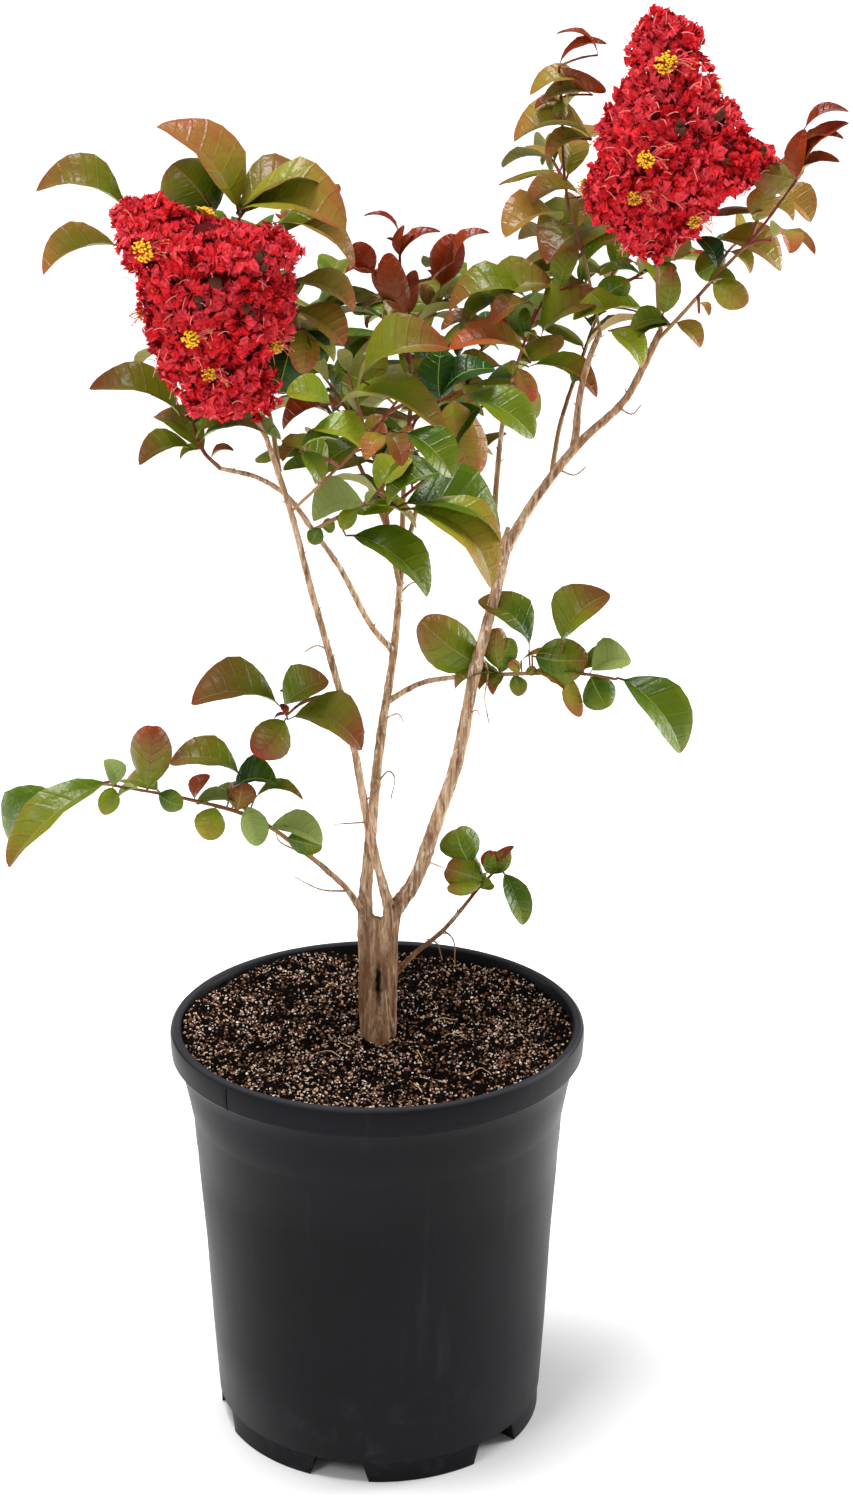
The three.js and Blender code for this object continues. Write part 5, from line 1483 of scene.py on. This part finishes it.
GRID_HEIGHTS, GRID_TURNS, FLOWER_TRIES = 100, 72, 4000     # places on a head, and how many are tried
# Layers of flowers over a head: distance between flowers, and how deep the layer is; a deeper layer also
# takes darker reds as painted shade
FLOWER_LAYERS = ((8.1, 0.0), (11.5, 6.0))
FLOWER_DEPTH = 6.6          # of a full-size flower's middle under the head's surface
# The core, in the darkest red as painted shade inside the head: how far over the head's foot it
# starts, how much shorter than the head it is, and how deep under the head's surface it lies
CORE = {"rings": 22, "sides": 20, "foot": 7, "shorter": 15, "deep": 11}
BUD_DEPTH, BUD_SCALE = 4, 0.72              # under the surface, and of the size in the head's list
BUDS_BEHIND, BUD_LUMPS = 6, 4               # knots of buds that no list places, and buds in a knot
CLEAR_OF_BUDS, CLEAR_OF_CLUSTERS = 4.6, 6   # how near a flower may be before it is left out or sunk
SUNK_BY_CLUSTER = 3
CLUSTER = {"anthers": 70, "reach": 4.6, "stamens": 8}
CLUSTER_DEPTH = 3.2
CLUSTERS_BEHIND = 9
STRAY_STAMENS = 130
HEAD_STALK_RADII = (1.3, 0.9)


def head_row(head, height):
    """The middle across and half the width of a flower head at a height."""
    heights, middles, halves = np.array(head.rows[::-1], float).T
    return np.interp(height, heights, middles), np.interp(height, heights, halves)


def head_point(head, turn, height):
    middle, half = head_row(head, height)
    return np.array([middle + half * math.cos(turn), head.depth_at + half * BLOSSOM_DEPTH * math.sin(turn),
                     height])


def on_head(head, turn, height, out=0.0):
    """A point off a flower head's surface by out, and the way out of it."""
    here = head_point(head, turn, height)
    round_it = head_point(head, turn + 0.02, height) - here
    up_it = head_point(head, turn, height + 0.5) - here
    way = unit(np.cross(round_it, up_it))
    return here + way * out, way


def spread_on_head(head, dice, apart):
    """Turns and heights all over a flower head that keep a distance from one another."""
    heights = np.linspace(head.rows[-1][0] + 0.5, head.rows[0][0] - 1, GRID_HEIGHTS)
    turns = turns_of(GRID_TURNS)
    grid = np.array([[head_point(head, turn, height) for turn in turns] for height in heights])
    beside, above = np.roll(grid, -1, axis=1)[:-1] - grid[:-1], np.diff(grid, axis=0)
    areas = np.linalg.norm(np.cross(beside, above), axis=2)
    order = dice.choice(areas.size, size=FLOWER_TRIES, p=(areas / areas.sum()).ravel())
    kept = np.zeros((0, 3))
    for row, column in zip(*np.unravel_index(order, areas.shape)):
        spot = grid[row, column]
        if len(kept) == 0 or np.linalg.norm(kept - spot, axis=1).min() > apart:
            kept = np.concatenate([kept, [spot]])
            yield turns[column], heights[row]


def petal(dice, scale):
    """One crinkled petal on its thread-thin claw, along x."""
    side = np.linspace(-1, 1, PETAL_COLUMNS)
    rows = len(PETAL_ROWS)
    ruffle = np.linspace(0, 1, rows)[:, None]
    frill = dice.normal(size=(3, rows, PETAL_COLUMNS)) * ruffle
    waves = np.sin(side * dice.uniform(6, 10) + dice.uniform(0, 6))[None, :] * ruffle**2
    x = PETAL_ROWS[:, None] - 1.7 * side[None, :]**2 * ruffle**2 + 0.6 * frill[0]
    y = PETAL_HALF[:, None] * side[None, :] + 0.5 * frill[1]
    z = 1.2 * waves + 1.4 * frill[2] - 0.05 * PETAL_ROWS[:, None]**2 * dice.uniform(-0.2, 1.0)
    return np.stack([x, y, z], axis=-1).reshape(-1, 3) * scale


def add_floret(batch, dice, centre, out, scale, shade):
    """Six petals round a flower's middle, opened like a saucer whose axis is the way out.
    shade is its red, from 0 for the lightest."""
    side = unit(np.cross(out, dice.normal(size=3)))
    over = np.cross(out, side)
    faces = grid_faces(len(PETAL_ROWS), PETAL_COLUMNS)
    to_tip = np.repeat(np.arange(len(PETAL_ROWS) - 1), PETAL_COLUMNS - 1) / (len(PETAL_ROWS) - 2)
    for index in range(PETALS):
        turn = 2 * math.pi * (index + dice.uniform(-0.3, 0.3)) / PETALS
        lift = dice.uniform(-0.1, 0.95)
        spread = swing(side, over, turn)
        along, up = swing(spread, out, lift), swing(out, -spread, lift)
        points = petal(dice, scale)
        placed = centre + points @ np.stack([along, np.cross(up, along), up])
        reds = shade + dice.normal(0.5, 0.6) - to_tip + dice.uniform(-0.5, 0.5, len(faces))
        batch.add(placed, faces, np.clip(np.rint(reds), 0, len(PETAL_REDS) - 1).astype(int))


def add_painted_shade_core(batch, head):
    """The inside of a flower head, deep under its petals, in the darkest red as painted shade."""
    top, low = head.rows[0][0], head.rows[-1][0]
    rings = []
    for ring in range(CORE["rings"]):
        share = (ring + 0.5) / CORE["rings"]
        height = low + CORE["foot"] + (top - low - CORE["shorter"]) * share
        across, half = head_row(head, height)
        middle = np.array([across, head.depth_at, height])
        closing = math.sin(math.pi * share)**0.4
        inner = max(0.1, half - CORE["deep"]) / half
        rings.append([middle + (head_point(head, turn, height) - middle) * closing * inner
                      for turn in turns_of(CORE["sides"])])
    rings = np.array(rings)
    # painted shade: the core takes the darkest red
    batch.add(*closed_skin(rings, rings[0].mean(axis=0) - UP, rings[-1].mean(axis=0) + UP),
              len(PETAL_REDS) - 1)


def ball(centre, radii, segments=6, rings=4):
    """A small round lump."""
    profile = [(math.sin(math.pi * k / rings), -math.cos(math.pi * k / rings)) for k in range(rings + 1)]
    points, faces = lathe(profile, segments)
    return points * radii + centre, faces


def front_of_head(head, x, height, out=0.0):
    """The place on the side of a flower head that looks to the plant's best side."""
    middle, half = head_row(head, height)
    return on_head(head, -math.acos(np.clip((x - middle) / half, -0.95, 0.95)), height, out)


def height_within(head, dice, rows):
    """A height on a flower head, some rows of its table in from its ends."""
    return dice.uniform(head.rows[-1 - rows][0], head.rows[rows][0])


def add_buds(batch, dice, spot, size):
    """A knot of dark round buds and open seed cups."""
    for _ in range(BUD_LUMPS):
        centre = spot + dice.uniform(-1.3, 1.3, 3) * size
        batch.add(*ball(centre, size * dice.uniform(0.6, 1.1), 8, 6), BUD_FINISH)


def make_petals(head, materials):
    """A head's flowers in two layers over its core, which is painted dark as shade, with buds between them.
    """
    dice = np.random.RandomState(head.seed)
    batch = Batch()
    add_painted_shade_core(batch, head)
    hollows = [front_of_head(head, x, height, -BUD_DEPTH)[0] for x, height, _ in head.buds]
    for _ in range(BUDS_BEHIND):
        turn = dice.uniform(0, math.pi)
        hollows.append(on_head(head, turn, height_within(head, dice, 2), -BUD_DEPTH)[0])
    for index, spot in enumerate(hollows):
        size = BUD_SCALE * head.buds[index][2] if index < len(head.buds) else dice.uniform(1.2, 2)
        add_buds(batch, dice, spot, size)
    open_flowers = np.array([front_of_head(head, x, height, -3)[0] for x, height, _ in head.clusters])
    for apart, depth in FLOWER_LAYERS:
        for turn, height in spread_on_head(head, dice, apart):
            scale = dice.uniform(0.7, 1.0)
            centre, out = on_head(head, turn, height, -FLOWER_DEPTH * scale - depth - dice.uniform(0, 3))
            skin, _ = on_head(head, turn, height, -BUD_DEPTH)
            if depth == 0 and nearest(skin[None], np.array(hollows)) < CLEAR_OF_BUDS:
                continue
            if nearest(skin[None], open_flowers) < CLEAR_OF_CLUSTERS:
                centre = centre - out * SUNK_BY_CLUSTER
            patch = math.sin(skin[0] * 0.13 + skin[2] * 0.07) * math.cos(skin[2] * 0.16 - skin[1] * 0.1)
            # painted shade: the deeper layer takes darker reds; patch varies the red in broad patches
            shade = 0.9 + 0.8 * patch + 0.25 * depth + dice.normal(0, 0.5)
            add_floret(batch, dice, centre, out, scale, shade)
    return make_piece(head.name.replace("blossom", "petals"), batch, materials, smooth=False)


def add_cluster(batch, dice, centre, out, size):
    """A boss of yellow anthers, and long pink stamens that arch out to its right."""
    side = unit(np.cross(UP, out))
    over = np.cross(out, side)
    reach = CLUSTER["reach"] * size
    for _ in range(CLUSTER["anthers"]):
        turn, away = dice.uniform(0, 2 * math.pi), reach * math.sqrt(dice.uniform())
        lift = 2.2 + 1.6 * (1 - (away / reach)**2) + dice.uniform(-0.5, 0.5)
        spot = centre + swing(side, over, turn) * away + out * lift
        anther = np.array([0.7, 0.7, 0.5]) * dice.uniform(0.8, 1.2) * min(size, 1.05)
        batch.add(*ball(spot, anther), YELLOW if size > 0.85 or dice.uniform() < 0.4 else AMBER)
        foot = centre + (spot - centre) * 0.2
        batch.add(*tube(bowed_run(foot, spot, 0.3, 4), 0.14, 0.12, 4, step=1.4), AMBER)
    for _ in range(CLUSTER["stamens"]):
        start = centre + side * dice.uniform(1.5, 4.5) * size + over * dice.uniform(-2.5, 2.5) * size
        end = start + side * dice.uniform(5, 9) * size + over * dice.uniform(-5, 6)
        end = end + out * dice.uniform(2, 5)
        batch.add(*tube(bowed_run(start, end, dice.uniform(1, 3), 7), 0.22, 0.16, 5, step=1.6), PINK)
        batch.add(*ball(end, np.array([0.5, 0.5, 0.4])), AMBER)


def make_stamens(head, materials):
    """A head's anther clusters, its stalk and the pale stamens that stand out all over it."""
    dice = np.random.RandomState(head.seed + 40)
    batch = Batch()
    for x, height, size in head.clusters:
        centre, out = front_of_head(head, x, height, -CLUSTER_DEPTH)
        add_cluster(batch, dice, centre, unit(out + 0.7 * FRONT), size)
    for index in range(CLUSTERS_BEHIND):
        centre, out = on_head(head, 0.25 + index * 0.33, height_within(head, dice, 2), -CLUSTER_DEPTH)
        add_cluster(batch, dice, centre, out, dice.uniform(0.7, 1.1))
    batch.add(*tube(smooth_run(head.stalk), *HEAD_STALK_RADII, 8, step=2), STALK_BROWN)
    for _ in range(STRAY_STAMENS):
        height = height_within(head, dice, 1)
        start, out = on_head(head, dice.uniform(0, 2 * math.pi), height, -3)
        side = unit(np.cross(out, dice.normal(size=3)))
        end = start + out * dice.uniform(2.5, 4.5) + side * dice.uniform(3, 7)
        bow = bowed_run(start, end, dice.uniform(0.5, 2.5), 6)
        batch.add(*tube(bow, 0.24, 0.16, 4, step=1.6), PALE_PINK)
    return make_piece(head.name.replace("blossom", "stamens"), batch, materials)


# ---- Assembly --------------------------------------------------------------


def own(piece, slot, *nodes):
    """The piece moves with the plant and stands for CAD nodes, whose parts it hides. slot is not used."""
    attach(piece, "root")
    if nodes:
        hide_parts(*nodes)


own(make_pot(plastic_finish()), "pot_plastic", "pot")
own(make_soil_bed(soil_finish()), "soil", "soil")
for grains in make_grains():
    own(grains, "soil")
own(make_straws(), "soil")
own(make_bark(bark_finish()), "bark", "trunk", *BOUGHS)

all_twigs, all_leaves = grow_masses()
own(make_twigs(all_twigs), "bark")
for piece_name, piece in make_leaf_pieces(choose_leaves(all_leaves), leaf_finishes()).items():
    own(piece, "leaves", *LEAF_PIECES[piece_name])

petal_materials, stamen_materials = petal_finishes(), stamen_finishes()
for flower_head in BLOSSOMS:
    own(make_petals(flower_head, petal_materials), "blossom", flower_head.name)
    own(make_stamens(flower_head, stamen_materials), "blossom")

# ---- Floor, light and camera -----------------------------------------------

FLOOR_HALF = 30.0           # metres, as are the places and sizes of the lights
# Soft lamps: name, place, watts, size and what they point at
LAMPS = [
    ("key", (-1.2, -1.6, 1.7), 15, 0.7, (0, 0, 0.45)),
    ("rim", (1.4, 0.5, 0.9), 13, 0.7, (0, 0, 0.45)),
    ("left_strip", (-1.5, 0.35, 0.6), 6, 0.6, (0, 0, 0.2)),
    ("right_strip", (1.5, 0.4, 0.5), 12, 0.6, (0, 0, 0.15)),
]
# A broad soft light over everything, from a turn round the plant and a tilt off straight up (degrees)
SUN = {"turn": -100, "tilt": 8, "strength": 3.6, "angle": 24}
# Even light that is brighter overhead than round about: the range of heights and of strengths
SKY = {"From Min": -0.1, "From Max": 0.9, "To Min": 0.16, "To Max": 0.48}


def make_floor():
    mesh = bpy.data.meshes.new("floor")
    corners = [(-FLOOR_HALF, -FLOOR_HALF, 0), (FLOOR_HALF, -FLOOR_HALF, 0), (FLOOR_HALF, FLOOR_HALF, 0),
               (-FLOOR_HALF, FLOOR_HALF, 0)]
    mesh.from_pydata(corners, [], [(0, 1, 2, 3)])
    floor = link("floor", mesh)
    mesh.materials.append(Finish("pale_floor", "F0F0F0", roughness=0.9, shine=0.1).material)


def add_lamp(name, place, energy, size, aim):
    light = bpy.data.lights.new(name, "AREA")
    light.energy, light.size = energy, size
    lamp = link(name, light)
    lamp.location = place
    lamp.rotation_euler = (Vector(aim) - Vector(place)).to_track_quat("-Z", "Y").to_euler()


def add_sun():
    light = bpy.data.lights.new("overhead", "SUN")
    light.energy, light.angle = SUN["strength"], math.radians(SUN["angle"])
    link("overhead", light).rotation_euler = (math.radians(SUN["tilt"]), 0, math.radians(SUN["turn"]))


def add_camera():
    camera = bpy.data.cameras.new("camera")
    camera.lens, camera.sensor_width = VIEW["lens"], VIEW["sensor"]
    holder = link("camera", camera)
    holder.location = VIEW["place"] * MM
    holder.rotation_euler = (math.pi / 2 - VIEW["pitch"], 0, 0)
    bpy.context.scene.camera = holder


def make_world():
    world = bpy.data.worlds.new("studio")
    bpy.context.scene.world = world
    world.use_nodes = True
    tree = world.node_tree
    place = add_node(tree, "ShaderNodeTexCoord", {}, {})
    split = add_node(tree, "ShaderNodeSeparateXYZ", {"Vector": place.outputs["Generated"]}, {})
    light = add_node(tree, "ShaderNodeMapRange", {"Value": split.outputs["Z"], **SKY}, {})
    tree.links.new(light.outputs["Result"], tree.nodes["Background"].inputs["Strength"])
    tree.nodes["Background"].inputs["Color"].default_value = (1, 1, 1, 1)


make_world()
bpy.context.scene.view_settings.view_transform = "Standard"
make_floor()
add_sun()
for lamp_settings in LAMPS:
    add_lamp(*lamp_settings)
add_camera()
